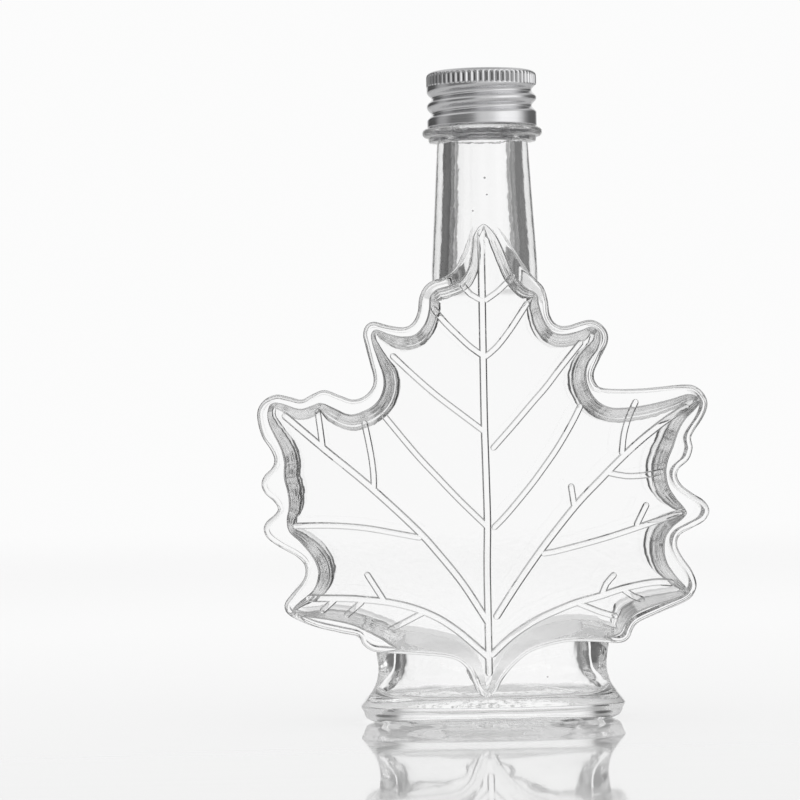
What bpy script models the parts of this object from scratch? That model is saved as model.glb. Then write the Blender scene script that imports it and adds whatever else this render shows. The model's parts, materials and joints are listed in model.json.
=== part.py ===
"""Maple leaf bottle.

A flat flask of clear glass in the outline of a maple leaf, with a raised vein pattern on its front
face, a round neck above it, an oval flared foot below it, and an aluminium screw cap.

Frame: metres, +Z up, the leaf's front face looks along -Y. The origin is on the surface that the
bottle stands on, midway between the leaf's outermost points and midway through its depth.
"""
import math

import bmesh
import bpy
from mathutils import Vector

MM = 0.001
MERGE = 0.00001          # merge distance, in metres
STEEP = math.radians(60.0)

# Driving dimensions, in millimetres.
AXIS_X = 1.4             # the neck and the foot share an axis a little right of the leaf's middle
LEAF_HALF_DEPTH = 12.4   # half the thickness of the leaf
LEAF_EDGE_ROUND = 1.2    # rounding of the leaf's outer edges
LEAF_SPACING = 1.9       # step along the leaf's outline
HOLLOW_SPACING = 2.2     # step along the hollow's outline
WALL = 3.4               # thickness of the leaf's front and back wall
BORE_RADIUS = 7.0        # the mouth is 14 mm across
BORE_SECTIONS = (        # (radius, z): the bore widens with the neck, down into the leaf's hollow
    (BORE_RADIUS, 130.0), (7.3, 115.0), (7.9, 103.0), (8.4, 90.0),
)
LIP_Z = 142.7            # top of the glass
LIP_RADIUS = 10.2        # plain glass ring that the cap sits round
LIP_CHAMFER = 0.7        # outer edge of the lip
MOUTH_CHAMFER = 0.6      # inner edge of the lip
CUT_MARGIN = 1.0         # how far a cutter reaches past the surface that it opens
BEAD_Z = 129.6           # transfer bead below the cap
BEAD_RADIUS = 13.25
BEAD_HALF_HEIGHT = 1.2
BEAD_ROOT_RADIUS = 11.0  # the bead's round outer side is drawn from here
COLLAR_RADIUS = 11.85    # low collar between the bead and the neck
COLLAR_Z = 127.6
COLLAR_CHAMFER = 0.6
NECK_TOP_Z = 126.4
NECK_TOP_RADIUS = 10.05
NECK_FOOT_Z = 98.3
NECK_FOOT_RADIUS = 11.8
NECK_BURIED_Z = 86.0     # the neck's solid ends here, inside the leaf

CAP_TOP_Z = 143.8
CAP_RIM_Z = 131.1
CAP_RADIUS = 12.15
CAP_INNER_RADIUS = 10.6
CAP_CORNER = 1.2
CAP_TOP_THICKNESS = 0.7
CAP_BAND_Z = 140.6       # the thread's closely spaced rings start under the knurled band
CAP_RING_STEP = 0.65
CAP_RINGS = 13
GROOVE_DEPTH = 1.05      # rolled thread groove
GROOVE_HALF_WIDTH = 1.55
GROOVE_PITCH = 3.4
GROOVE_FRONT_Z = 138.3   # height of the upper groove on the cap's front
GROOVE_TURNS = (-1.45, 0.45)
GROOVE_FADE_TURNS = 0.2

# In front of the foot the hollow's edge is a plain slope instead of a round.
HEM_LEFT = (-23.0, -19.0)    # the slope comes in over this stretch of x, below HEM_TOP_Z
HEM_RIGHT = (29.0, 25.0)
HEM_TOP_Z = 21.5
HEM_SLOPE = 0.47             # depth of the slope for its height

# On both faces the leaf's top point slopes back until it sinks into the neck: from this height,
# by this much over this rise.
POINT_SLOPE_Z = 96.0
POINT_SLOPE = 1.8 / 15.0
HOLLOW_SLOPE_Z = 94.5
HOLLOW_SLOPE = 2.6 / 12.5

# The leaf's outline, seen from the front: (x, z) points of one smooth closed curve.
LEAF_OUTLINE = (
    # right side of the top point and the right shoulder
    (1.4, 114.9), (2.9, 112.9), (5.7, 107.5), (8.9, 101.6), (11.6, 97.6), (13.8, 95.2),
    (14.7, 92.3), (15.1, 89.2), (16.4, 87.1), (18.8, 86.6),
    # upper right lobe and the notch under it
    (23.4, 87.8), (25.9, 87.1), (27.5, 85.2), (27.6, 82.7), (25.8, 79.1), (24.5, 76.2), (24.9, 74.0),
    (26.8, 72.8),
    # right side lobe
    (34.5, 72.6), (44.1, 73.3), (47.0, 72.6), (48.7, 70.7), (49.1, 68.6), (48.1, 66.0), (46.1, 63.1),
    (45.4, 61.5), (45.7, 59.4), (44.8, 56.9), (42.7, 55.0), (42.2, 53.4), (43.1, 51.5),
    # right tooth
    (45.3, 49.7), (48.0, 47.9), (49.1, 45.7), (48.0, 43.5), (45.1, 41.9), (42.6, 40.5), (41.9, 38.4),
    (42.9, 35.9),
    # lower right lobe, its lower edge and small last tooth
    (45.0, 32.8), (46.0, 29.9), (45.4, 27.7), (43.6, 26.0), (38.5, 23.9), (33.4, 21.7), (31.9, 20.1),
    (31.1, 18.3), (29.1, 17.2),
    # hem in front of the foot, the stem's tip, and the hem on the other side
    (24.3, 17.5), (19.7, 17.7), (15.3, 17.3), (9.8, 15.7), (6.1, 13.0), (3.4, 9.8),
    (1.7, 6.8), (-0.2, 5.1), (-1.9, 6.2), (-3.2, 9.2),
    (-4.6, 12.4), (-7.7, 14.5), (-14.6, 15.4), (-21.2, 15.9),
    # small last tooth on the left, lower edge and lower left lobe
    (-24.9, 16.4), (-27.0, 17.8), (-28.1, 19.6), (-32.1, 20.6), (-37.5, 22.0), (-42.2, 24.1),
    (-43.8, 25.6), (-43.8, 27.4), (-42.3, 29.3), (-40.1, 31.8), (-39.3, 33.6), (-39.5, 35.6),
    # lower and middle left teeth
    (-41.2, 37.4), (-44.8, 39.5), (-47.4, 41.5), (-48.2, 43.5), (-47.5, 45.2), (-45.9, 46.5),
    (-45.0, 47.8), (-45.8, 49.4), (-47.8, 51.3), (-48.5, 53.3), (-47.8, 55.2), (-46.1, 56.9),
    (-45.6, 58.7), (-46.5, 61.0),
    # left side lobe and the bump on its top edge
    (-48.1, 63.5), (-49.0, 66.7), (-49.0, 69.5), (-47.5, 71.7), (-44.9, 72.8), (-41.9, 72.2),
    (-39.4, 71.6), (-36.9, 72.8), (-34.3, 73.6), (-31.1, 72.4), (-28.2, 71.4), (-25.7, 72.1),
    (-24.0, 73.9), (-23.6, 76.1),
    # upper left lobe, left shoulder and the left side of the top point
    (-24.3, 79.1), (-25.2, 82.8), (-25.7, 85.5), (-25.1, 87.4), (-23.4, 88.3), (-19.9, 87.4),
    (-16.7, 87.0), (-14.8, 88.0), (-13.7, 90.3), (-13.3, 93.3), (-12.2, 95.6), (-10.4, 97.0),
    (-7.6, 97.9), (-5.1, 100.1), (-3.3, 104.4), (-2.0, 110.1), (-0.6, 113.8),
)

# The hollow's outline: (x, z, rounding of the hollow's edge there). It follows the leaf more
# softly, so the glass is thick along the toothed sides.
HOLLOW_OUTLINE = (
    # right side of the top point and the right shoulder
    (1.1, 109.2, 1.2), (3.5, 106.7, 2.0), (5.4, 102.5, 2.4), (7.3, 98.4, 2.6), (9.9, 95.1, 2.6),
    (12.4, 93.5, 2.4), (13.0, 91.0, 2.4), (14.1, 87.7, 2.8), (15.9, 85.4, 3.0), (18.4, 84.9, 3.0),
    # upper right lobe
    (21.5, 85.5, 2.6), (24.1, 86.3, 1.8), (25.9, 85.3, 1.6), (26.2, 83.4, 1.8), (25.5, 81.2, 2.4),
    (23.5, 78.3, 3.0), (23.0, 75.4, 3.6), (23.7, 72.5, 3.6), (25.5, 70.0, 3.6),
    # right side lobe
    (28.4, 68.6, 3.4), (32.4, 68.6, 3.2), (36.8, 69.2, 3.0), (41.3, 70.2, 2.4), (45.0, 71.2, 1.6),
    (47.1, 70.6, 1.2), (47.7, 69.4, 1.2), (46.5, 67.7, 1.6), (44.5, 65.7, 2.4), (43.0, 63.2, 3.0),
    (41.8, 59.8, 3.4), (40.6, 56.9, 3.6), (40.1, 54.3, 3.6), (40.5, 51.3, 3.4), (42.0, 48.6, 2.6),
    # right tooth and the lower right lobe
    (43.7, 46.5, 1.6), (44.3, 45.2, 1.2), (43.5, 44.0, 1.6), (41.3, 42.2, 2.6), (39.8, 40.1, 3.4),
    (39.4, 37.4, 3.6), (39.9, 34.4, 3.2), (41.8, 31.4, 2.2), (44.0, 28.8, 1.2), (43.9, 27.6, 1.0),
    (41.3, 26.4, 1.8), (36.9, 25.0, 2.6), (32.9, 23.3, 3.2), (30.6, 21.1, 3.6), (29.2, 19.1, 3.8),
    # hem and stem
    (26.1, 18.0, 4.0), (20.8, 18.1, 4.4), (15.5, 17.7, 4.4), (10.4, 16.1, 4.0), (6.2, 13.4, 3.0),
    (3.2, 10.4, 2.0), (1.3, 7.7, 1.2), (0.0, 6.7, 1.0), (-1.2, 7.8, 1.2), (-2.4, 10.3, 1.8),
    (-4.2, 13.0, 2.8), (-7.5, 14.9, 3.6), (-14.6, 15.9, 4.4), (-19.6, 16.7, 4.4),
    # lower edge and lower left lobe
    (-23.1, 18.8, 4.0), (-26.0, 20.4, 3.6), (-29.5, 22.0, 3.2), (-34.3, 23.2, 2.6),
    (-39.1, 24.0, 1.3), (-41.8, 24.6, 0.8), (-42.3, 25.7, 0.7), (-40.9, 27.3, 1.2),
    (-37.9, 29.7, 2.3), (-36.7, 32.4, 3.6), (-36.8, 35.0, 3.6), (-38.2, 37.7, 3.2),
    (-40.4, 40.4, 2.4), (-42.7, 42.7, 1.6),
    # left side
    (-43.2, 45.3, 2.0), (-42.7, 48.4, 3.0), (-43.0, 51.5, 3.4), (-43.7, 54.6, 3.4),
    (-43.6, 57.9, 3.4), (-44.3, 61.0, 3.0), (-45.7, 64.0, 2.4), (-46.8, 66.7, 1.8),
    (-46.9, 69.2, 1.2), (-46.0, 70.9, 1.2), (-44.0, 70.9, 1.6),
    # top edge of the left side lobe
    (-40.0, 69.6, 2.4), (-37.4, 70.2, 2.6), (-35.2, 70.8, 2.8), (-32.3, 69.6, 3.2),
    (-29.1, 68.2, 3.6), (-26.1, 68.8, 3.8), (-23.2, 70.6, 3.8), (-21.7, 73.4, 3.8),
    (-21.6, 76.4, 3.6), (-22.6, 79.7, 2.4),
    # upper left lobe, left shoulder and the left side of the top point
    (-23.8, 83.6, 1.3), (-23.9, 85.7, 0.9), (-22.8, 86.6, 1.0), (-20.0, 85.6, 2.2),
    (-17.1, 85.0, 3.0), (-14.4, 85.4, 3.0), (-12.3, 87.6, 2.8), (-11.3, 90.5, 2.6),
    (-11.0, 93.2, 2.4), (-9.5, 94.9, 2.6), (-6.8, 95.7, 2.6), (-3.9, 97.1, 2.6),
    (-2.0, 100.0, 2.2), (-1.2, 103.9, 1.6), (-0.9, 106.6, 1.2),
)

# Raised veins on the front face: (x, z) points, from the tip of each vein inwards.
MAIN_VEIN_RADIUS = 0.72
BRANCH_VEIN_RADIUS = 0.6
VEIN_HEIGHT = 0.45       # how far a vein stands out of the face
MAIN_VEINS = (
    # midrib
    ((0.5, 107.2), (0.4, 96.0), (0.35, 80.0), (0.35, 66.0), (0.5, 55.0), (0.6, 44.0), (0.35, 34.0),
     (0.35, 22.0), (0.35, 11.4)),
    # left and right side lobe
    ((-42.9, 68.0), (-34.6, 60.7), (-25.2, 52.7), (-15.0, 43.0), (-10.0, 37.3), (-5.1, 31.0),
     (-1.0, 24.5), (0.3, 22.4)),
    ((44.1, 68.3), (39.9, 65.6), (35.0, 61.9), (30.2, 57.7), (25.0, 52.6), (20.1, 47.6),
     (13.9, 40.1), (9.6, 34.4), (5.8, 29.0), (2.3, 23.7)),
    # lower left and lower right lobe
    ((-38.4, 28.3), (-30.3, 28.1), (-26.8, 27.8), (-21.2, 27.1), (-15.4, 25.6), (-10.3, 23.3),
     (-6.2, 20.5), (-3.2, 17.9), (0.1, 14.9)),
    ((40.2, 30.2), (37.7, 30.4), (34.6, 30.1), (29.7, 29.1), (24.8, 27.6), (19.8, 26.3), (15.0, 24.5),
     (10.2, 22.3), (5.3, 19.1), (1.2, 15.4)),
)
BRANCH_VEINS = (
    # four pairs that leave the midrib
    ((-3.6, 95.6), (-2.1, 93.8), (0.3, 92.4)),
    ((7.0, 97.4), (4.1, 94.6), (1.3, 92.6)),
    ((-10.1, 90.7), (-7.9, 87.9), (-4.7, 84.6), (-2.3, 82.3), (0.3, 80.4)),
    ((10.0, 91.4), (6.3, 85.9), (3.3, 82.2), (1.0, 80.3)),
    ((-19.2, 80.6), (-15.0, 76.5), (-10.0, 72.0), (-5.2, 68.2), (0.3, 63.9)),
    ((21.5, 82.7), (17.2, 77.5), (13.9, 73.3), (11.1, 70.2), (6.6, 65.1), (2.3, 60.4)),
    ((-21.5, 67.8), (-14.7, 59.3), (-10.1, 54.2), (-5.3, 49.0), (0.3, 43.4)),
    ((21.2, 68.8), (19.2, 65.0), (16.0, 59.8), (12.6, 55.1), (9.8, 51.5), (4.9, 45.8), (2.2, 43.1)),
    # left side lobe
    ((-35.9, 68.9), (-35.4, 65.0), (-35.0, 61.4)),
    ((-25.7, 66.0), (-24.5, 59.5), (-24.0, 55.0), (-24.0, 52.3)),
    ((-41.0, 44.1), (-35.0, 44.1), (-29.9, 43.8), (-25.0, 43.2), (-19.9, 42.2), (-14.4, 41.1)),
    # right side lobe
    ((33.3, 69.6), (31.8, 66.4), (30.7, 62.8), (30.2, 58.9)),
    ((38.3, 54.3), (35.0, 53.7), (31.0, 53.6), (27.6, 54.3)),
    ((19.0, 51.5), (19.5, 47.8)),
    ((43.0, 45.6), (37.4, 43.7), (29.9, 41.3), (25.1, 39.9), (20.0, 38.6), (14.9, 37.4), (12.9, 37.1)),
    ((35.2, 47.1), (33.2, 43.2)),
    # lower left lobe
    ((-25.7, 33.1), (-22.3, 27.6)),
    ((-33.1, 27.8), (-35.5, 25.7)),
    ((-27.2, 27.2), (-30.3, 24.6)),
    ((-13.8, 24.7), (-17.6, 22.8), (-20.9, 21.2)),
    # lower right lobe
    ((27.8, 32.0), (26.2, 30.2), (25.4, 28.4)),
    ((30.2, 28.7), (31.9, 27.5), (33.8, 26.7)),
    ((20.3, 26.0), (24.9, 24.1), (27.9, 23.2)),
)

# Oval sections, from the bottom up: (half width, half depth, z).
OVAL_POWER = 2.4         # 2 would be an ellipse, more is squarer
FOOT_SECTIONS = (
    (25.0, 9.8, 0.0), (27.6, 12.2, 0.8), (28.9, 13.3, 2.0), (29.25, 13.6, 3.4), (28.6, 13.1, 5.0),
    (26.9, 11.9, 7.2), (25.6, 11.0, 9.5), (25.3, 10.8, 12.0), (25.9, 10.9, 15.0), (26.2, 11.0, 18.5),
)
FOOT_HOLLOW_SECTIONS = (
    (5.0, 1.8, 7.6), (12.0, 4.3, 6.6), (18.0, 6.3, 5.0), (22.0, 7.8, 4.5), (23.4, 8.4, 5.6),
    (22.4, 7.9, 7.8), (20.8, 7.1, 10.5), (20.2, 6.9, 13.5), (20.2, 6.9, 19.5),
)
FOOT_RECESS_SECTIONS = (
    (21.0, 7.0, -1.0), (20.0, 6.4, 0.0), (17.0, 5.2, 0.9), (9.0, 2.8, 1.4),
)


def remove_everything():
    """Empty the scene that the script starts in."""
    for scene_object in list(bpy.data.objects):
        bpy.data.objects.remove(scene_object)


def new_collection(name):
    collection = bpy.data.collections.new(name)
    bpy.context.scene.collection.children.link(collection)
    return collection


def principled(name, colour, roughness, metallic=0.0, transmission=0.0, ior=1.5):
    """A Principled material with the given finish."""
    material = bpy.data.materials.new(name)
    material.use_nodes = True
    shader = material.node_tree.nodes["Principled BSDF"]
    shader.inputs["Base Color"].default_value = (*colour, 1.0)
    shader.inputs["Roughness"].default_value = roughness
    shader.inputs["Metallic"].default_value = metallic
    shader.inputs["Transmission Weight"].default_value = transmission
    shader.inputs["IOR"].default_value = ior
    return material


def object_from_bmesh(name, bm, collection):
    """Turn a bmesh into an object, with its normals facing out."""
    bmesh.ops.recalc_face_normals(bm, faces=bm.faces)
    mesh = bpy.data.meshes.new(name)
    bm.to_mesh(mesh)
    bm.free()
    made = bpy.data.objects.new(name, mesh)
    collection.objects.link(made)
    return made


def as_guide(guide):
    """Mark an object as a cutter or a piece that a Boolean joins, which isn't a part itself."""
    guide.hide_render = True
    guide.display_type = "WIRE"
    return guide


def shade_smooth(part, angle_deg=35.0):
    part.data.shade_smooth()
    part.data.set_sharp_from_angle(angle=math.radians(angle_deg))


def smooth_loop(points, spacing):
    """Points along the smooth closed curve through the given points, about spacing apart.

    The curve is a Catmull-Rom spline, and works for points with any number of values.
    """
    count = len(points)
    path = []
    for i in range(count):
        before, start, end, after = (points[(i + k) % count] for k in (-1, 0, 1, 2))
        steps = max(1, round(math.dist(start[:2], end[:2]) / spacing))
        for step in range(steps):
            t = step / steps
            weights = (
                -0.5 * t + t * t - 0.5 * t ** 3,
                1.0 - 2.5 * t * t + 1.5 * t ** 3,
                0.5 * t + 2.0 * t * t - 1.5 * t ** 3,
                -0.5 * t * t + 0.5 * t ** 3,
            )
            path.append(tuple(
                sum(w * value for w, value in zip(weights, values))
                for values in zip(before, start, end, after)
            ))
    return path


def inward_normals(outline):
    """The unit vector into the shape at each point of a clockwise (x, z) outline."""
    normals = []
    for i, _ in enumerate(outline):
        before, after = outline[i - 1], outline[(i + 1) % len(outline)]
        along = Vector((after[0] - before[0], after[1] - before[1])).normalized()
        normals.append(Vector((along.y, -along.x)))
    return normals


def loft(name, rings, collection):
    """A closed solid through rings of equally many points, capped at both ends."""
    bm = bmesh.new()
    layers = [[bm.verts.new(Vector(point) * MM) for point in ring] for ring in rings]
    for lower, upper in zip(layers, layers[1:]):
        for i, _ in enumerate(lower):
            bm.faces.new((lower[i - 1], lower[i], upper[i], upper[i - 1]))
    bm.faces.new(layers[0])
    bm.faces.new(layers[-1])
    return object_from_bmesh(name, bm, collection)


def slope_the_top_point(bm, half_depth, slope_z, slope):
    """Cut both faces of a leaf-shaped solid with planes that lean back above slope_z."""
    for side in (-1, 1):
        bmesh.ops.bisect_plane(
            bm, geom=bm.verts[:] + bm.edges[:] + bm.faces[:], dist=1e-7,
            plane_co=Vector((0.0, side * half_depth, slope_z)) * MM,
            plane_no=Vector((0.0, side, slope)).normalized(), clear_outer=True,
        )
        bmesh.ops.holes_fill(bm, edges=[edge for edge in bm.edges if edge.is_boundary], sides=0)


def leaf_slab(collection):
    """The leaf's outer form: its outline given depth, with the edges of both faces rounded."""
    outline = smooth_loop(LEAF_OUTLINE, LEAF_SPACING)
    bm = bmesh.new()
    front = bm.faces.new([bm.verts.new(Vector((x, -LEAF_HALF_DEPTH, z)) * MM) for x, z in outline])
    drawn = bmesh.ops.extrude_face_region(bm, geom=[front])
    back_corners = [item for item in drawn["geom"] if isinstance(item, bmesh.types.BMVert)]
    bmesh.ops.translate(bm, vec=Vector((0.0, 2.0 * LEAF_HALF_DEPTH, 0.0)) * MM, verts=back_corners)
    bmesh.ops.recalc_face_normals(bm, faces=bm.faces)
    slope_the_top_point(bm, LEAF_HALF_DEPTH, POINT_SLOPE_Z, POINT_SLOPE)
    bmesh.ops.recalc_face_normals(bm, faces=bm.faces)
    rims = [
        edge for edge in bm.edges
        if edge.calc_face_angle(0.0) > STEEP
        and max(abs(face.normal.y) for face in edge.link_faces) > 0.9
    ]
    bmesh.ops.bevel(
        bm, geom=rims, offset=LEAF_EDGE_ROUND * MM, offset_type="OFFSET", affect="EDGES",
        segments=2, profile=0.5, material=-1, clamp_overlap=True,
    )
    return object_from_bmesh("leaf_slab", bm, collection)


def share_between(value, start, end):
    """0 at start, 1 at end and evenly between them."""
    return max(0.0, min(1.0, (value - start) / (end - start)))


def hem_share(x, z):
    """1 where the hollow's edge is the hem's plain slope, 0 where it is a round."""
    if z > HEM_TOP_Z:
        return 0.0
    return min(share_between(x, *HEM_LEFT), share_between(x, *HEM_RIGHT))


def edge_profile(rounding, turn, hem):
    """How far the hollow's edge is set in, across and in depth, at a turn from its side wall."""
    share = turn / math.radians(90.0)
    inset = rounding * ((1.0 - hem) * (1.0 - math.cos(turn)) + hem * share)
    drop = rounding * ((1.0 - hem) * (1.0 - math.sin(turn)) + hem * HEM_SLOPE * (1.0 - share))
    return inset, drop


def leaf_hollow(collection):
    """The space inside the leaf, with edges rounded by the radius that its outline gives."""
    outline = smooth_loop(HOLLOW_OUTLINE, HOLLOW_SPACING)
    normals = inward_normals(outline)
    half_depth = LEAF_HALF_DEPTH - WALL
    turns = [math.radians(angle) for angle in (90, 50, 20, 0)]
    rings = []
    for side in (-1, 1):
        for turn in turns if side < 0 else reversed(turns):
            ring = []
            for (x, z, rounding), normal in zip(outline, normals):
                inset, drop = edge_profile(rounding, turn, hem_share(x, z))
                ring.append((x + normal.x * inset, side * (half_depth - drop), z + normal.y * inset))
            rings.append(ring)
    hollow = loft("leaf_hollow", rings, collection)
    bm = bmesh.new()
    bm.from_mesh(hollow.data)
    slope_the_top_point(bm, half_depth, HOLLOW_SLOPE_Z, HOLLOW_SLOPE)
    bmesh.ops.recalc_face_normals(bm, faces=bm.faces)
    bm.to_mesh(hollow.data)
    bm.free()
    return hollow


def oval_loft(name, sections, collection, points=48):
    """A closed solid through oval sections stacked along Z, round the bottle's axis."""
    rings = []
    for half_width, half_depth, z in sections:
        ring = []
        for i in range(points):
            angle = 2.0 * math.pi * i / points
            across, deep = math.cos(angle), math.sin(angle)
            ring.append((
                AXIS_X + half_width * math.copysign(abs(across) ** (2.0 / OVAL_POWER), across),
                half_depth * math.copysign(abs(deep) ** (2.0 / OVAL_POWER), deep),
                z,
            ))
        rings.append(ring)
    return loft(name, rings, collection)


def turned(name, profile, collection, steps=48):
    """A solid turned round the bottle's axis from (radius, z) points, listed from top to bottom."""
    mesh = bpy.data.meshes.new(name)
    mesh.from_pydata(
        [(radius * MM, 0.0, z * MM) for radius, z in profile],
        [(i, i + 1) for i in range(len(profile) - 1)], [],
    )
    made = bpy.data.objects.new(name, mesh)
    made.location.x = AXIS_X * MM
    collection.objects.link(made)
    screw = made.modifiers.new("Turn", "SCREW")
    screw.steps = steps
    screw.render_steps = steps
    screw.use_merge_vertices = True
    screw.merge_threshold = MERGE
    return made


def ellipse_arc(centre, semi_axes, from_deg, to_deg, steps):
    """(radius, z) points on an elliptical arc."""
    points = []
    for i in range(steps + 1):
        angle = math.radians(from_deg + (to_deg - from_deg) * i / steps)
        points.append((
            centre[0] + semi_axes[0] * math.cos(angle), centre[1] + semi_axes[1] * math.sin(angle),
        ))
    return points


def neck(collection):
    """The neck, with the bead and the collar that mark it off from the plain ring under the cap."""
    bead = ellipse_arc(
        (BEAD_ROOT_RADIUS, BEAD_Z), (BEAD_RADIUS - BEAD_ROOT_RADIUS, BEAD_HALF_HEIGHT), 90, -62, 6,
    )
    profile = (
        [(0.0, LIP_Z), (LIP_RADIUS - LIP_CHAMFER, LIP_Z), (LIP_RADIUS, LIP_Z - LIP_CHAMFER),
         (LIP_RADIUS, BEAD_Z + BEAD_HALF_HEIGHT)]
        + bead
        + [(COLLAR_RADIUS, COLLAR_Z), (COLLAR_RADIUS - COLLAR_CHAMFER, COLLAR_Z - COLLAR_CHAMFER),
           (NECK_TOP_RADIUS, NECK_TOP_Z), (NECK_FOOT_RADIUS, NECK_FOOT_Z),
           (NECK_FOOT_RADIUS, NECK_BURIED_Z), (0.0, NECK_BURIED_Z)]
    )
    return turned("neck", profile, collection)


def bore(collection):
    """The way in: a round bore from the mouth down into the leaf's hollow."""
    profile = (
        [(0.0, LIP_Z + CUT_MARGIN), (BORE_RADIUS + MOUTH_CHAMFER + CUT_MARGIN, LIP_Z + CUT_MARGIN),
         (BORE_RADIUS, LIP_Z - MOUTH_CHAMFER)]
        + list(BORE_SECTIONS)
        + [(0.0, BORE_SECTIONS[-1][1])]
    )
    return turned("bore", profile, collection, steps=40)


def veins(points_of_veins, radius, name, collection):
    """Raised veins, as round bars half sunk in the front face and ready to be joined to it."""
    for number, points in enumerate(points_of_veins):
        curve = bpy.data.curves.new(f"{name}_{number:02d}", "CURVE")
        curve.dimensions = "3D"
        curve.bevel_depth = radius * MM
        curve.bevel_resolution = 1
        curve.use_fill_caps = True
        spline = curve.splines.new("POLY")
        spline.points.add(len(points) - 1)
        for target, (x, z) in zip(spline.points, points):
            face_y = -LEAF_HALF_DEPTH + max(0.0, z - POINT_SLOPE_Z) * POINT_SLOPE
            target.co = (x * MM, (face_y + radius - VEIN_HEIGHT) * MM, z * MM, 1.0)
        bar = bpy.data.objects.new(curve.name, curve)
        collection.objects.link(bar)
        bpy.context.view_layer.update()
        depsgraph = bpy.context.evaluated_depsgraph_get()
        solid = bpy.data.meshes.new_from_object(bar.evaluated_get(depsgraph))
        bm = bmesh.new()
        bm.from_mesh(solid)
        bmesh.ops.remove_doubles(bm, verts=bm.verts, dist=MERGE)
        bm.to_mesh(solid)
        bm.free()
        vein = bpy.data.objects.new(f"{name}_solid_{number:02d}", solid)
        vein.matrix_world = bar.matrix_world
        bpy.data.objects.remove(bar)
        collection.objects.link(vein)


def add_boolean(target, name, operation, collection):
    boolean = target.modifiers.new(name, "BOOLEAN")
    boolean.operation = operation
    boolean.operand_type = "COLLECTION"
    boolean.collection = collection
    boolean.solver = "EXACT"


def bottle(parts, joined, cutters, material):
    """One hollow piece of glass: leaf, neck, foot and veins joined, then hollowed out."""
    body = leaf_slab(parts)
    body.name = "bottle"
    body.data.name = "bottle"
    neck(joined)
    oval_loft("foot", FOOT_SECTIONS, joined)
    veins(MAIN_VEINS, MAIN_VEIN_RADIUS, "main_vein", joined)
    veins(BRANCH_VEINS, BRANCH_VEIN_RADIUS, "branch_vein", joined)
    leaf_hollow(cutters)
    bore(cutters)
    oval_loft("foot_hollow", FOOT_HOLLOW_SECTIONS, cutters, points=40)
    oval_loft("foot_recess", FOOT_RECESS_SECTIONS, cutters, points=40)
    add_boolean(body, "Join the pieces", "UNION", joined)
    add_boolean(body, "Hollow it out", "DIFFERENCE", cutters)
    body.data.materials.append(material)
    shade_smooth(body)
    return body


def groove_depth(angle, z):
    """How deep the rolled thread is at an angle from the cap's front and a height."""
    deepest = 0.0
    for turn in range(-2, 2):
        turns = turn + angle / (2.0 * math.pi)
        fade_in = (turns - GROOVE_TURNS[0]) / GROOVE_FADE_TURNS
        fade_out = (GROOVE_TURNS[1] - turns) / GROOVE_FADE_TURNS
        strength = max(0.0, min(1.0, fade_in, fade_out))
        across = (z - GROOVE_FRONT_Z - GROOVE_PITCH * turns) / GROOVE_HALF_WIDTH
        if abs(across) < 1.0:
            deepest = max(deepest, strength * GROOVE_DEPTH * (1.0 - across * across))
    return deepest


def cap(parts, material, steps=60):
    """The aluminium screw cap: a cup, open below, with the thread rolled into its side."""
    corner = ellipse_arc(
        (CAP_RADIUS - CAP_CORNER, CAP_TOP_Z - CAP_CORNER), (CAP_CORNER, CAP_CORNER), 90, 0, 3,
    )
    side_heights = [CAP_BAND_Z - CAP_RING_STEP * i for i in range(CAP_RINGS)]
    inner_top_z = CAP_TOP_Z - CAP_TOP_THICKNESS
    profile = (
        [(0.0, CAP_TOP_Z)] + corner + [(CAP_RADIUS, z) for z in side_heights]
        + [(CAP_RADIUS, CAP_RIM_Z), (CAP_INNER_RADIUS, CAP_RIM_Z), (CAP_INNER_RADIUS, inner_top_z),
           (0.0, inner_top_z)]
    )
    bm = bmesh.new()
    line = [bm.verts.new(Vector((radius, 0.0, z)) * MM) for radius, z in profile]
    edges = [bm.edges.new(pair) for pair in zip(line, line[1:])]
    bmesh.ops.spin(
        bm, geom=line + edges, cent=(0.0, 0.0, 0.0), axis=(0.0, 0.0, 1.0), dvec=(0.0, 0.0, 0.0),
        angle=2.0 * math.pi, steps=steps, use_merge=True, use_duplicate=False,
    )
    bmesh.ops.remove_doubles(bm, verts=bm.verts, dist=MERGE)
    for vert in bm.verts:
        radius, z = math.hypot(vert.co.x, vert.co.y) / MM, vert.co.z / MM
        if radius > CAP_RADIUS - MERGE / MM and CAP_RIM_Z < z < CAP_BAND_Z:
            angle = math.atan2(vert.co.x, -vert.co.y)
            scale = 1.0 - groove_depth(angle, z) / radius
            vert.co.x *= scale
            vert.co.y *= scale
    bmesh.ops.translate(bm, vec=Vector((AXIS_X, 0.0, 0.0)) * MM, verts=bm.verts)
    made = object_from_bmesh("cap", bm, parts)
    made.data.materials.append(material)
    shade_smooth(made)
    return made


def main():
    remove_everything()
    parts = new_collection("maple_leaf_bottle")
    joined = new_collection("joined_pieces")
    cutters = new_collection("cutters")
    clear_glass = principled("clear_glass", (0.97, 0.98, 0.98), 0.02, transmission=1.0, ior=1.52)
    aluminium = principled("aluminium", (0.78, 0.78, 0.80), 0.32, metallic=1.0)
    bottle(parts, joined, cutters, clear_glass)
    cap(parts, aluminium)
    for collection in (joined, cutters):
        for guide in collection.objects:
            as_guide(guide)


main()
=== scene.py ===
"""Maple leaf bottle: a clear glass flask with an aluminium screw cap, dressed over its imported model.

Laid out as an add-on for Blender 4.5 and run as a script. Lengths in the tables are in
millimetres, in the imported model's frame: +Z up, the leaf's front face looks along -Y.
"""
import json
import math

import bmesh
import bpy
from bpy.props import FloatProperty, FloatVectorProperty, IntProperty, PointerProperty
from bpy.types import Operator, Panel, PropertyGroup
from mathutils import Matrix, Vector, noise

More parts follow.
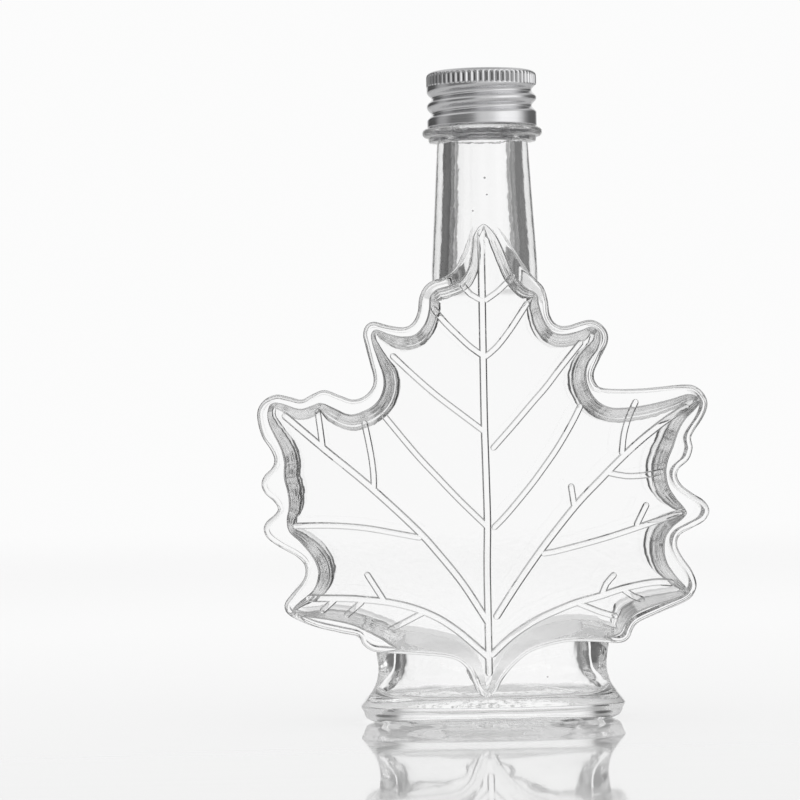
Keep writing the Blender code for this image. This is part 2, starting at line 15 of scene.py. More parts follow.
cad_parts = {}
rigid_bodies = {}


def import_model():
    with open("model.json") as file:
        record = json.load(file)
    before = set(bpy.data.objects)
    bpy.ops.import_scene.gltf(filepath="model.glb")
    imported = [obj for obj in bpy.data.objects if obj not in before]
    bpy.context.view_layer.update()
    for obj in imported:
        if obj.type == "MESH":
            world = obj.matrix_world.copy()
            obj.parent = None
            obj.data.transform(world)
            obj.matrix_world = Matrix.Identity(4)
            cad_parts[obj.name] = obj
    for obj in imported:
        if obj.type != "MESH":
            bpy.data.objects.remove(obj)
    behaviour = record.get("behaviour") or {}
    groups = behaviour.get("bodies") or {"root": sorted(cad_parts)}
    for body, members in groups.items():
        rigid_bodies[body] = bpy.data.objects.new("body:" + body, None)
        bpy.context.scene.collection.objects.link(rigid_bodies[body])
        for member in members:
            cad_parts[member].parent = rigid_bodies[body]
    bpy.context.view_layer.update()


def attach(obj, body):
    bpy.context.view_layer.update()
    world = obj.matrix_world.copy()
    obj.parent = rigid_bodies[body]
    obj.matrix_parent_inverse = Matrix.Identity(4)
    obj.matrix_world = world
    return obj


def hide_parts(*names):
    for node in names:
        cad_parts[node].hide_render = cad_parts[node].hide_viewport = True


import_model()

bl_info = {
    "name": "Maple Leaf Bottle",
    "version": (1, 0, 0),
    "blender": (4, 5, 0),
    "location": "3D View > Sidebar > Maple Leaf Bottle",
    "description": "Models a clear glass leaf-shaped flask and its rolled aluminium screw cap",
    "category": "Add Mesh",
}

MM = 0.001
MERGE = 2e-6             # merge distance, in metres
CUT_MARGIN = 1e-7        # places closer than this to a cut lie on it, in metres
ROOT = "root"            # the body that both pieces ride on

# ---------------- the leaf's outlines and veins

# The leaf's outline, seen from the front: (x, z) points of one smooth closed curve.
LEAF_OUTLINE = (
    # right side of the top point and the right shoulder
    (1.4, 114.9), (2.9, 112.9), (5.7, 107.5), (8.9, 101.6), (11.6, 97.6), (13.8, 95.2),
    (14.7, 92.3), (15.1, 89.2), (16.4, 87.1), (18.8, 86.6),
    # upper right lobe and the notch under it
    (23.4, 87.8), (25.9, 87.1), (27.5, 85.2), (27.6, 82.7), (25.8, 79.1), (24.5, 76.2), (24.9, 74.0),
    (26.8, 72.8),
    # right side lobe
    (34.5, 72.6), (44.1, 73.3), (47.0, 72.6), (48.7, 70.7), (49.1, 68.6), (48.1, 66.0), (46.1, 63.1),
    (45.4, 61.5), (45.7, 59.4), (44.8, 56.9), (42.7, 55.0), (42.2, 53.4), (43.1, 51.5),
    # right tooth
    (45.3, 49.7), (48.0, 47.9), (49.1, 45.7), (48.0, 43.5), (45.1, 41.9), (42.6, 40.5), (41.9, 38.4),
    (42.9, 35.9),
    # lower right lobe, its lower edge and small last tooth
    (45.0, 32.8), (46.0, 29.9), (45.4, 27.7), (43.6, 26.0), (38.5, 23.9), (33.4, 21.7), (31.9, 20.1),
    (31.1, 18.3), (29.1, 17.2),
    # hem in front of the foot, the stem's tip, and the hem on the other side
    (24.3, 17.5), (19.7, 17.7), (15.3, 17.3), (9.8, 15.7), (6.1, 13.0), (3.4, 9.8),
    (1.7, 6.8), (-0.2, 5.1), (-1.9, 6.2), (-3.2, 9.2),
    (-4.6, 12.4), (-7.7, 14.5), (-14.6, 15.4), (-21.2, 15.9),
    # small last tooth on the left, lower edge and lower left lobe
    (-24.9, 16.4), (-27.0, 17.8), (-28.1, 19.6), (-32.1, 20.6), (-37.5, 22.0), (-42.2, 24.1),
    (-43.8, 25.6), (-43.8, 27.4), (-42.3, 29.3), (-40.1, 31.8), (-39.3, 33.6), (-39.5, 35.6),
    # lower and middle left teeth
    (-41.2, 37.4), (-44.8, 39.5), (-47.4, 41.5), (-48.2, 43.5), (-47.5, 45.2), (-45.9, 46.5),
    (-45.0, 47.8), (-45.8, 49.4), (-47.8, 51.3), (-48.5, 53.3), (-47.8, 55.2), (-46.1, 56.9),
    (-45.6, 58.7), (-46.5, 61.0),
    # left side lobe and the bump on its top edge
    (-48.1, 63.5), (-49.0, 66.7), (-49.0, 69.5), (-47.5, 71.7), (-44.9, 72.8), (-41.9, 72.2),
    (-39.4, 71.6), (-36.9, 72.8), (-34.3, 73.6), (-31.1, 72.4), (-28.2, 71.4), (-25.7, 72.1),
    (-24.0, 73.9), (-23.6, 76.1),
    # upper left lobe, left shoulder and the left side of the top point
    (-24.3, 79.1), (-25.2, 82.8), (-25.7, 85.5), (-25.1, 87.4), (-23.4, 88.3), (-19.9, 87.4),
    (-16.7, 87.0), (-14.8, 88.0), (-13.7, 90.3), (-13.3, 93.3), (-12.2, 95.6), (-10.4, 97.0),
    (-7.6, 97.9), (-5.1, 100.1), (-3.3, 104.4), (-2.0, 110.1), (-0.6, 113.8),
)

# The hollow's outline: (x, z, rounding of the hollow's edge there).
HOLLOW_OUTLINE = (
    # right side of the top point and the right shoulder
    (1.1, 109.2, 1.2), (3.5, 106.7, 2.0), (5.4, 102.5, 2.4), (7.3, 98.4, 2.6), (9.9, 95.1, 2.6),
    (12.4, 93.5, 2.4), (13.0, 91.0, 2.4), (14.1, 87.7, 2.8), (15.9, 85.4, 3.0), (18.4, 84.9, 3.0),
    # upper right lobe
    (21.5, 85.5, 2.6), (24.1, 86.3, 1.8), (25.9, 85.3, 1.6), (26.2, 83.4, 1.8), (25.5, 81.2, 2.4),
    (23.5, 78.3, 3.0), (23.0, 75.4, 3.6), (23.7, 72.5, 3.6), (25.5, 70.0, 3.6),
    # right side lobe
    (28.4, 68.6, 3.4), (32.4, 68.6, 3.2), (36.8, 69.2, 3.0), (41.3, 70.2, 2.4), (45.0, 71.2, 1.6),
    (47.1, 70.6, 1.2), (47.7, 69.4, 1.2), (46.5, 67.7, 1.6), (44.5, 65.7, 2.4), (43.0, 63.2, 3.0),
    (41.8, 59.8, 3.4), (40.6, 56.9, 3.6), (40.1, 54.3, 3.6), (40.5, 51.3, 3.4), (42.0, 48.6, 2.6),
    # right tooth and the lower right lobe
    (43.7, 46.5, 1.6), (44.3, 45.2, 1.2), (43.5, 44.0, 1.6), (41.3, 42.2, 2.6), (39.8, 40.1, 3.4),
    (39.4, 37.4, 3.6), (39.9, 34.4, 3.2), (41.8, 31.4, 2.2), (44.0, 28.8, 1.2), (43.9, 27.6, 1.0),
    (41.3, 26.4, 1.8), (36.9, 25.0, 2.6), (32.9, 23.3, 3.2), (30.6, 21.1, 3.6), (29.2, 19.1, 3.8),
    # hem and stem
    (26.1, 18.0, 4.0), (20.8, 18.1, 4.4), (15.5, 17.7, 4.4), (10.4, 16.1, 4.0), (6.2, 13.4, 3.0),
    (3.2, 10.4, 2.0), (1.3, 7.7, 1.2), (0.0, 6.7, 1.0), (-1.2, 7.8, 1.2), (-2.4, 10.3, 1.8),
    (-4.2, 13.0, 2.8), (-7.5, 14.9, 3.6), (-14.6, 15.9, 4.4), (-19.6, 16.7, 4.4),
    # lower edge and lower left lobe
    (-23.1, 18.8, 4.0), (-26.0, 20.4, 3.6), (-29.5, 22.0, 3.2), (-34.3, 23.2, 2.6),
    (-39.1, 24.0, 1.3), (-41.8, 24.6, 0.8), (-42.3, 25.7, 0.7), (-40.9, 27.3, 1.2),
    (-37.9, 29.7, 2.3), (-36.7, 32.4, 3.6), (-36.8, 35.0, 3.6), (-38.2, 37.7, 3.2),
    (-40.4, 40.4, 2.4), (-42.7, 42.7, 1.6),
    # left side
    (-43.2, 45.3, 2.0), (-42.7, 48.4, 3.0), (-43.0, 51.5, 3.4), (-43.7, 54.6, 3.4),
    (-43.6, 57.9, 3.4), (-44.3, 61.0, 3.0), (-45.7, 64.0, 2.4), (-46.8, 66.7, 1.8),
    (-46.9, 69.2, 1.2), (-46.0, 70.9, 1.2), (-44.0, 70.9, 1.6),
    # top edge of the left side lobe
    (-40.0, 69.6, 2.4), (-37.4, 70.2, 2.6), (-35.2, 70.8, 2.8), (-32.3, 69.6, 3.2),
    (-29.1, 68.2, 3.6), (-26.1, 68.8, 3.8), (-23.2, 70.6, 3.8), (-21.7, 73.4, 3.8),
    (-21.6, 76.4, 3.6), (-22.6, 79.7, 2.4),
    # upper left lobe, left shoulder and the left side of the top point
    (-23.8, 83.6, 1.3), (-23.9, 85.7, 0.9), (-22.8, 86.6, 1.0), (-20.0, 85.6, 2.2),
    (-17.1, 85.0, 3.0), (-14.4, 85.4, 3.0), (-12.3, 87.6, 2.8), (-11.3, 90.5, 2.6),
    (-11.0, 93.2, 2.4), (-9.5, 94.9, 2.6), (-6.8, 95.7, 2.6), (-3.9, 97.1, 2.6),
    (-2.0, 100.0, 2.2), (-1.2, 103.9, 1.6), (-0.9, 106.6, 1.2),
)

# Raised veins on the front face: (x, z) points, from the tip of each vein inwards.
MAIN_VEINS = (
    # midrib
    ((0.5, 107.2), (0.4, 96.0), (0.35, 80.0), (0.35, 66.0), (0.5, 55.0), (0.6, 44.0), (0.35, 34.0),
     (0.35, 22.0), (0.35, 11.4)),
    # left and right side lobe
    ((-42.9, 68.0), (-34.6, 60.7), (-25.2, 52.7), (-15.0, 43.0), (-10.0, 37.3), (-5.1, 31.0),
     (-1.0, 24.5), (0.3, 22.4)),
    ((44.1, 68.3), (39.9, 65.6), (35.0, 61.9), (30.2, 57.7), (25.0, 52.6), (20.1, 47.6),
     (13.9, 40.1), (9.6, 34.4), (5.8, 29.0), (2.3, 23.7)),
    # lower left and lower right lobe
    ((-38.4, 28.3), (-30.3, 28.1), (-26.8, 27.8), (-21.2, 27.1), (-15.4, 25.6), (-10.3, 23.3),
     (-6.2, 20.5), (-3.2, 17.9), (0.1, 14.9)),
    ((40.2, 30.2), (37.7, 30.4), (34.6, 30.1), (29.7, 29.1), (24.8, 27.6), (19.8, 26.3), (15.0, 24.5),
     (10.2, 22.3), (5.3, 19.1), (1.2, 15.4)),
)
BRANCH_VEINS = (
    # four pairs that leave the midrib
    ((-3.6, 95.6), (-2.1, 93.8), (0.3, 92.4)),
    ((7.0, 97.4), (4.1, 94.6), (1.3, 92.6)),
    ((-10.1, 90.7), (-7.9, 87.9), (-4.7, 84.6), (-2.3, 82.3), (0.3, 80.4)),
    ((10.0, 91.4), (6.3, 85.9), (3.3, 82.2), (1.0, 80.3)),
    ((-19.2, 80.6), (-15.0, 76.5), (-10.0, 72.0), (-5.2, 68.2), (0.3, 63.9)),
    ((21.5, 82.7), (17.2, 77.5), (13.9, 73.3), (11.1, 70.2), (6.6, 65.1), (2.3, 60.4)),
    ((-21.5, 67.8), (-14.7, 59.3), (-10.1, 54.2), (-5.3, 49.0), (0.3, 43.4)),
    ((21.2, 68.8), (19.2, 65.0), (16.0, 59.8), (12.6, 55.1), (9.8, 51.5), (4.9, 45.8), (2.2, 43.1)),
    # left side lobe
    ((-35.9, 68.9), (-35.4, 65.0), (-35.0, 61.4)),
    ((-25.7, 66.0), (-24.5, 59.5), (-24.0, 55.0), (-24.0, 52.3)),
    ((-41.0, 44.1), (-35.0, 44.1), (-29.9, 43.8), (-25.0, 43.2), (-19.9, 42.2), (-14.4, 41.1)),
    # right side lobe
    ((33.3, 69.6), (31.8, 66.4), (30.7, 62.8), (30.2, 58.9)),
    ((38.3, 54.3), (35.0, 53.7), (31.0, 53.6), (27.6, 54.3)),
    ((19.0, 51.5), (19.5, 47.8)),
    ((43.0, 45.6), (37.4, 43.7), (29.9, 41.3), (25.1, 39.9), (20.0, 38.6), (14.9, 37.4), (12.9, 37.1)),
    ((35.2, 47.1), (33.2, 43.2)),
    # lower left lobe
    ((-25.7, 33.1), (-22.3, 27.6)),
    ((-33.1, 27.8), (-35.5, 25.7)),
    ((-27.2, 27.2), (-30.3, 24.6)),
    ((-13.8, 24.7), (-17.6, 22.8), (-20.9, 21.2)),
    # lower right lobe
    ((27.8, 32.0), (26.2, 30.2), (25.4, 28.4)),
    ((30.2, 28.7), (31.9, 27.5), (33.8, 26.7)),
    ((20.3, 26.0), (24.9, 24.1), (27.9, 23.2)),
)

AXIS_X = 1.4             # the neck and the foot share an axis a little right of the leaf's middle
LEAF_HALF_DEPTH = 12.4
POINT_SLOPE_Z = 92.0     # above this height both faces of the top point lean back
POINT_SLOPE = 0.17
POINT_RELIEF = 0.25      # in front of the neck the point is this much raised from it
POINT_SINK = 0.6         # and sinks by this much toward its tip, between these heights
POINT_SINK_Z = (104.0, 112.0)
POINT_BLEND = 0.8        # lean and hug blend over this depth, which grows over the rise
POINT_BLEND_RISE = 5.0
POINT_ROWS = 15          # the top point's faces are cut into small ones of this size
POINT_ROW_HEIGHT = 1.5
POINT_COLUMNS = 8        # on either side of the axis
POINT_COLUMN_WIDTH = 1.2
HOLLOW_SLOPE_Z = 94.5    # above this height both faces of the hollow lean back
HOLLOW_SLOPE = 0.06
HEM_LEFT = (-23.0, -19.0)    # in front of the foot the hollow's edge is a plain slope
HEM_RIGHT = (29.0, 25.0)
HEM_TOP_Z = 21.5
HEM_SLOPE = 0.47             # depth of that slope for its height
# The hollow's edge elsewhere: a tight corner, a slope and then a small steep step up to the face,
# each as a share of the rounding.
CORNER = 0.28
CORNER_TURN = math.radians(72.0)
SLOPE_END = 0.84
STEP_WIDTH = 0.15
STEP_HEIGHT = 0.115
FLOW_LINES = 2.6             # shallow flow lines run along the slope
FLOW_HEIGHT = 0.007
FLOW_WAVE_SIZE = 7.0
FLOW_APART = 5.0             # more than 0, so that they differ in front and behind
CORNER_ROWS = 6
SLOPE_ROWS = 16
STEP_ROWS = 3
STEP_ROUGH = 1.0             # share of the ripple on the steep step, and on the rest of the edge
SLOPE_ROUGH = 0.3
STEP_LEAD = 0.05             # the slope's last part, next to the step, is as rough as the step
EDGE_WAVE_SIZE = 0.9
EDGE_WAVE_STRETCH = 0.6      # less than 1, so the waves are longer from front to back
OUTLINE_STEP = 0.6           # spacing of the points along the leaf's outline
HOLLOW_STEP = 0.5            # and along the hollow's
EDGE_ROWS = 8                # rings of points round each outer edge of the leaf
SHARP_ANGLE = math.radians(38.0)
ROOM_USED = 0.8              # a rounding takes up at most this share of an inward turn's radius
EASING = 0.5                 # and changes by at most this share of the distance walked
VEIN_STEP = 1.4
VEIN_FADE_Z = (93.0, 110.0)  # the midrib sinks into the top point between these heights
VEIN_END_TURNS = (20, 45, 65, 85)    # degrees round a vein's end
# Half of a vein's cross-section, from the middle of its top down one flank: (across, up), each
# as a share of the vein's half width and of its height.
VEIN_SECTION = (
    (0.0, 1.0), (0.45, 0.99), (0.6, 0.93), (0.93, 0.04), (1.0, -0.1), (1.0, -1.2),
)

# ---------------- the neck, the bore and the foot

LIP_Z = 142.7
LIP_RADIUS = 10.2
LIP_ROUND = 0.7
BEAD_Z = 129.9
BEAD_RADIUS = 13.25
BEAD_HALF_HEIGHT = 0.95
BEAD_CORNER = 0.85
BEAD_ROOT_RADIUS = 11.0
BEAD_ROOT_RISE = 0.2
COLLAR_RADIUS = 11.85
COLLAR_Z = 128.0
COLLAR_CHAMFER = 0.2
COLLAR_FILLET = 0.15
NECK_TOP_Z = 127.6
NECK_TOP_RADIUS = 10.05
NECK_FOOT_Z = 98.3
NECK_FOOT_RADIUS = 11.8
NECK_BURIED_Z = 86.0     # the neck's solid ends here, inside the leaf
NECK_STEPS = 160

BORE_RADIUS = 7.0
MOUTH_ROUND = 0.6
MOUTH_FLARE = ((1.5, 1.0), (0.9, 0.3))   # (wider than the bore, above the lip) over the mouth
BORE_SECTIONS = (        # (radius, z): the bore widens with the neck, down into the hollow
    (7.0, 140.0), (7.0, 130.0), (7.05, 124.0), (7.3, 115.0), (7.9, 103.0), (8.3, 95.0), (8.4, 90.0),
)
BORE_STEP = 0.6
BORE_STEPS = 120
BORE_RIPPLE = 0.2        # share of the ripple in the bore
BORE_WAVE_SIZE = 1.7
BORE_WAVE_START = (1.0, 4.0)     # the waves grow between these depths below the lip
RING_WAVE_SIZE = 0.8
RING_WAVES = 3.0                 # inside the bead come waves this many times as deep

# Oval sections, in the order they are joined: (half width, half depth, z).
OVAL_POWER = 2.4         # 2 would be an ellipse, more is squarer
OVAL_POINTS = 200
OVAL_STEP = 0.5
FOOT_SECTIONS = (
    (26.0, 10.8, 0.0), (27.9, 12.2, 0.8), (28.5, 12.9, 1.7), (28.8, 13.2, 2.6), (29.25, 13.6, 3.5),
    (28.5, 13.1, 4.6), (27.0, 12.0, 6.6), (25.9, 11.2, 8.6), (25.3, 10.8, 11.5), (25.5, 10.85, 14.0),
    (26.2, 11.0, 18.5),
)
FOOT_HOLLOW_SECTIONS = (
    (5.0, 1.8, 7.6), (12.0, 4.3, 6.6), (18.0, 6.3, 5.0), (22.0, 7.8, 4.5), (23.4, 8.4, 5.6),
    (22.4, 7.9, 7.8), (20.8, 7.1, 10.5), (20.2, 6.9, 13.5), (20.2, 6.9, 19.5),
)
FOOT_RECESS_SECTIONS = (
    (21.0, 7.0, -1.0), (20.0, 6.4, 0.0), (17.0, 5.2, 0.9), (9.0, 2.8, 1.4), (1.0, 0.3, 1.5),
)
FOOT_WAVE = 0.05
FOOT_WAVE_SIZE = (5.2, 5.2, 1.3)
FOOT_WAVE_Z = (7.0, 3.0)     # the waves grow between these heights
PUSH_UP_WAVE_SIZE = 2.4
FOOT_HOLLOW_WAVE_SIZE = 2.0
STIPPLE_SPACING = 1.1
STIPPLE_HEIGHT = 0.3
STIPPLE_RADIUS = 0.4         # as a share of the spacing

# Small bubbles in the glass: (x, y, z, radius).
BUBBLES = (
    (1.5, -8.7, 119.3, 0.25), (1.9, -8.9, 115.6, 0.2), (-1.1, -9.2, 112.1, 0.2),
    (-9.4, -10.6, 88.0, 0.25), (13.1, -8.3, 9.8, 0.2),
)

# ---------------- the glass's look

# Faint waves of the surface: (size, depth).
SMOOTH_WAVES = (18.0, 0.02)
PRESSED_WAVES = (5.0, 0.03)
BORE_WAVES = (1.2, 0.03)
RING_GRAIN = 1500.0          # grain of the rough ring, to the metre
RING_ROUGH = 5.0
RING_FOOT_Z = (COLLAR_Z, COLLAR_Z + 0.6)     # heights where its roughness starts and is full
RING_HEAD_Z = (BEAD_Z + 1.3, BEAD_Z + 0.7)
# Painted shade: glass that faces to the side has its colour darkened by a share, for the dark
# that refraction gives at its edges. Each pair is how squarely the surface faces along one axis,
# from 0 to 1, where the painted shade starts and where it is full.
FLANK_FACING = (0.90, 0.72)
FLANK_RIGHT = (-0.2, 0.5)    # this one from -1, left, to 1, right
FLANK_PAINTED_SHADE = 0.2
FLANK_PAINTED_SHADE_RIGHT = 0.35      # more painted shade on a flank that faces right
RIM_FACING = (0.70, 0.30)
RIM_PAINTED_SHADE = 0.55
EDGE_FACING = (0.985, 0.94)
EDGE_PAINTED_SHADE = 0.12
STEP_FACING = ((0.42, 0.50), (0.82, 0.70))
STEP_PAINTED_SHADE = 0.86
EDGE_FADE_Z = (19.0, 24.0)   # the hollow's edge gets no painted shade in the foot
BORE_FACING = ((0.82, 0.86), (0.94, 0.91))
BORE_PAINTED_SHADE = 0.8

# ---------------- the cap

CAP_TOP_Z = 143.4
CAP_RIM_Z = 131.1
CAP_RADIUS = 12.15
CAP_CORNER = 1.2
CAP_STEPS = 480
CAP_RING_STEP = 0.15
GROOVE_DEPTH = 1.05      # the thread rolled into the side
GROOVE_HALF_WIDTH = 1.55
GROOVE_PITCH = 3.4
GROOVE_FRONT_Z = 138.3
GROOVE_TURNS = (-1.45, 0.45)
GROOVE_FADE_TURNS = 0.2
FLUTE_TOP_Z = 142.4
FLUTE_BOTTOM_Z = 140.15
FLUTE_FOOT_FADE = (0.0, 0.25)    # the flutes grow between these heights over their lower end
FLUTE_TOP_FADE = (0.4, -0.1)     # and over their upper end
RIM_ROUND = 0.3
GRAIN_ROUND = (60.0, 60.0, 3200.0)   # grain of the metal, to the metre along each axis
GRAIN_ACROSS = (80.0, 3000.0, 80.0)
ACROSS_Z = (CAP_TOP_Z - 0.4, CAP_TOP_Z - 0.1)    # the grain turns over between these heights
BLOTCHES = 260.0
SHADE_FOOT_Z = (FLUTE_BOTTOM_Z, FLUTE_BOTTOM_Z + 0.4)    # painted shade darkens the grooves between the flutes
SHADE_TOP_Z = (FLUTE_TOP_Z + 0.3, FLUTE_TOP_Z)
FLUTE_SHADE = 0.6


def length_value(name, description, millimetres):
    return FloatProperty(name=name, description=description, default=millimetres * MM, unit="LENGTH")


def share_value(name, description, default):
    return FloatProperty(
        name=name, description=description, default=default, min=0.0, max=1.0, subtype="FACTOR",
    )


def colour_value(name, description, default):
    return FloatVectorProperty(
        name=name, description=description, default=default, min=0.0, max=1.0, subtype="COLOR",
    )


class GlassSettings(PropertyGroup):
    """Sizes and colour of the glass bottle."""

    wall: length_value("Wall", "Thickness of the leaf's front and back wall", 3.4)
    edge_round: length_value("Edge Rounding", "Rounding of the leaf's outer edges", 1.2)
    main_vein: length_value("Main Vein Half Width", "Half the width of the lobes' main veins", 0.88)
    branch_vein: length_value("Branch Vein Half Width", "Half the width of the smaller veins", 0.76)
    vein_height: length_value("Vein Height", "How far a vein stands out of the face", 0.6)
    ripple: length_value("Ripple", "Depth of the waves that blowing leaves inside", 0.12)
    colour: colour_value("Colour", "Colour of the glass", (1.0, 1.0, 1.0))
    ior: FloatProperty(
        name="IOR", description="Refractive index of soda-lime glass", default=1.52, subtype="FACTOR",
    )


class CapSettings(PropertyGroup):
    """Sizes and finish of the aluminium cap."""

    sheet: length_value("Sheet", "Thickness of the aluminium sheet", 0.35)
    flutes: IntProperty(
        name="Flutes", description="Number of flutes in the grip band", default=60, min=0,
    )
    flute_depth: length_value("Flute Depth", "Depth of the flutes", 0.42)
    colour: colour_value("Colour", "Colour of the aluminium", (0.70, 0.70, 0.71))
    roughness: share_value("Roughness", "Roughness of the satin finish", 0.19)


class StageSettings(PropertyGroup):
    """The floor, the light and the camera."""

    floor_tone: share_value("Floor Tone", "Grey level of the pale floor", 0.75)
    # Painted light: the floor glows, most under the foot, in place of light the glass lets through.
    painted_floor_light: share_value("Floor Glow", "Light that the translucent floor gives from below", 0.27)
    camera_distance: length_value("Camera Distance", "From the camera to the bottle", 750.0)
    camera_roll: FloatProperty(
        name="Camera Roll", description="How far the camera leans to its side",
        default=math.radians(1.1), subtype="ANGLE",
    )
    lens: FloatProperty(
        name="Lens", description="Focal length of the camera", default=152.4, unit="CAMERA",
    )


class LeafBottleSettings(PropertyGroup):
    """Everything that the panel shows."""

    glass: PointerProperty(type=GlassSettings)
    cap: PointerProperty(type=CapSettings)
    stage: PointerProperty(type=StageSettings)


# ---------------- curves and outlines

def curve_point(before, start, end, after, t):
    """The point at t on the Catmull-Rom curve from start to end."""
    weights = (
        -0.5 * t + t * t - 0.5 * t ** 3,
        1.0 - 2.5 * t * t + 1.5 * t ** 3,
        0.5 * t + 2.0 * t * t - 1.5 * t ** 3,
        -0.5 * t * t + 0.5 * t ** 3,
    )
    return tuple(
        sum(w * value for w, value in zip(weights, values))
        for values in zip(before, start, end, after)
    )


def smooth_path(points, spacing, closed=False):
    """Points along the smooth curve through the given points, about spacing apart.

    On a closed curve only the first two values of a point are its place.
    """
    count = len(points)
    path = []
    for i in range(count if closed else count - 1):
        around = [i - 1, i, i + 1, i + 2]
        if not closed:
            around = [max(0, min(count - 1, place)) for place in around]
        before, start, end, after = (points[place % count] for place in around)
        walked = math.dist(start[:2], end[:2]) if closed else math.dist(start, end)
        steps = max(1, round(walked / spacing))
        path += [curve_point(before, start, end, after, step / steps) for step in range(steps)]
    return path if closed else path + [points[-1]]


def arc(centre_radius, centre_z, radius, from_deg, to_deg, steps):
    """(radius, z) points on an arc."""
    points = []
    for i in range(steps + 1):
        angle = math.radians(from_deg + (to_deg - from_deg) * i / steps)
        points.append((centre_radius + radius * math.cos(angle), centre_z + radius * math.sin(angle)))
    return points


def inward_normals(outline):
    """The unit vector into the shape at each point of a clockwise (x, z) outline."""
    normals = []
    for i, _ in enumerate(outline):
        before, after = outline[i - 1], outline[(i + 1) % len(outline)]
        along = Vector((after[0] - before[0], after[1] - before[1])).normalized()
        normals.append(Vector((along.y, -along.x)))
    return normals


def share_between(value, start, end):
    """0 at start, 1 at end and evenly between them."""
    return max(0.0, min(1.0, (value - start) / (end - start)))


def ripple(x, y, z, size, seed=0.0):
    """Smooth noise between about -1 and 1, with waves about size millimetres across."""
    place = Vector((x, y, z)) / size + Vector((seed, seed, seed))
    return noise.noise(place) + 0.5 * noise.noise(2.3 * place)


# ---------------- meshes

def mesh_object(name, bm, material, collection=None):
    """Turn a bmesh into an object whose faces look outwards."""
    bmesh.ops.recalc_face_normals(bm, faces=bm.faces)
    mesh = bpy.data.meshes.new(name)
    bm.to_mesh(mesh)
    bm.free()
    mesh.materials.append(material)
    made = bpy.data.objects.new(name, mesh)
    (collection or bpy.context.scene.collection).objects.link(made)
    return made


def drawn_through(rings):
    """A closed solid extruded from one ring of points to the next and filled at both ends."""
    bm = bmesh.new()
    loop = [bm.verts.new(Vector(point) * MM) for point in rings[0]]
    edges = [bm.edges.new((loop[i - 1], loop[i])) for i in range(len(loop))]
    bmesh.ops.edgeloop_fill(bm, edges=edges)
    for ring in rings[1:]:
        drawn = bmesh.ops.extrude_edge_only(bm, edges=edges)["geom"]
        fresh = {item for item in drawn if isinstance(item, bmesh.types.BMVert)}
        edges = [
            item for item in drawn
            if isinstance(item, bmesh.types.BMEdge) and fresh.issuperset(item.verts)
        ]
        loop = [
            next(edge.other_vert(old) for edge in old.link_edges if edge.other_vert(old) in fresh)
            for old in loop
        ]
        for vert, point in zip(loop, ring):
            vert.co = Vector(point) * MM
    bmesh.ops.edgeloop_fill(bm, edges=edges)
    return bm


def turned(profile, steps):
    """A closed solid of revolution round the bottle's axis from (radius, z) points."""
    bm = bmesh.new()
    line = [bm.verts.new(Vector((AXIS_X + radius, 0.0, z)) * MM) for radius, z in profile]
    edges = [bm.edges.new(pair) for pair in zip(line, line[1:])]
    bmesh.ops.spin(
        bm, geom=line + edges, cent=Vector((AXIS_X, 0.0, 0.0)) * MM, axis=(0.0, 0.0, 1.0),
        dvec=(0.0, 0.0, 0.0), angle=2.0 * math.pi, steps=steps, use_merge=True, use_duplicate=False,
    )
    bmesh.ops.remove_doubles(bm, verts=bm.verts, dist=MERGE)
    return bm


def move_from_axis(bm, amount):
    """Move each vertex away from the bottle's axis by amount(x, y, z), all in millimetres."""
    for vert in bm.verts:
        x, y, z = vert.co.x / MM - AXIS_X, vert.co.y / MM, vert.co.z / MM
        radius = math.hypot(x, y)
        if radius < MERGE / MM:
            continue
        scale = 1.0 + amount(x, y, z) / radius
        vert.co.x = (AXIS_X + x * scale) * MM
        vert.co.y = y * scale * MM


def oval_loft(sections):
    """A closed solid through oval sections stacked along Z, round the bottle's axis."""
    rings = []
    for half_width, half_depth, z in smooth_path(sections, OVAL_STEP):
        ring = []
        for i in range(OVAL_POINTS):
            angle = 2.0 * math.pi * i / OVAL_POINTS
            across, deep = math.cos(angle), math.sin(angle)
            ring.append((
                AXIS_X + half_width * math.copysign(abs(across) ** (2.0 / OVAL_POWER), across),
                half_depth * math.copysign(abs(deep) ** (2.0 / OVAL_POWER), deep),
                z,
            ))
        rings.append(ring)
    return drawn_through(rings)


# ---------------- the glass bottle

def eased_roundings(outline):
    """Each point's rounding, no larger than an inward turn of the outline leaves room for."""
    count = len(outline)
    roundings = []
    for i, (x, z, rounding) in enumerate(outline):
        before, after = outline[i - 1], outline[(i + 1) % count]
        entry = Vector((x - before[0], z - before[1]))
        leave = Vector((after[0] - x, after[1] - z))
        turn = entry.angle_signed(leave, 0.0)
        if turn > 1e-6:
            room = 0.5 * (entry.length + leave.length) / turn
            rounding = min(rounding, ROOM_USED * room)
        roundings.append(rounding)
    for way in (1, -1):
        for i in range(2 * count):
            here, last = way * i % count, way * (i - 1) % count
            walked = math.dist(outline[here][:2], outline[last][:2])
            roundings[here] = min(roundings[here], roundings[last] + EASING * walked)
    return roundings


def edged_solid(outline, half_depth, rows, edge):
    """A solid with a face in front and behind, whose edges edge() shapes.

    The outline holds (x, z, rounding). edge(side, row, x, z, rounding) gives a row's inset and
    its drop below the face, from the side wall (row 0) to the face (the last row).
    """
    normals = inward_normals(outline)
    roundings = eased_roundings(outline)
    rings = []
    for side, order in ((-1, range(rows - 1, -1, -1)), (1, range(rows))):
        for row in order:
            ring = []
            for (x, z, _), rounding, normal in zip(outline, roundings, normals):
                inset, drop = edge(side, row, x, z, rounding)
                ring.append((x + normal.x * inset, side * (half_depth - drop), z + normal.y * inset))
            rings.append(ring)
    return drawn_through(rings)


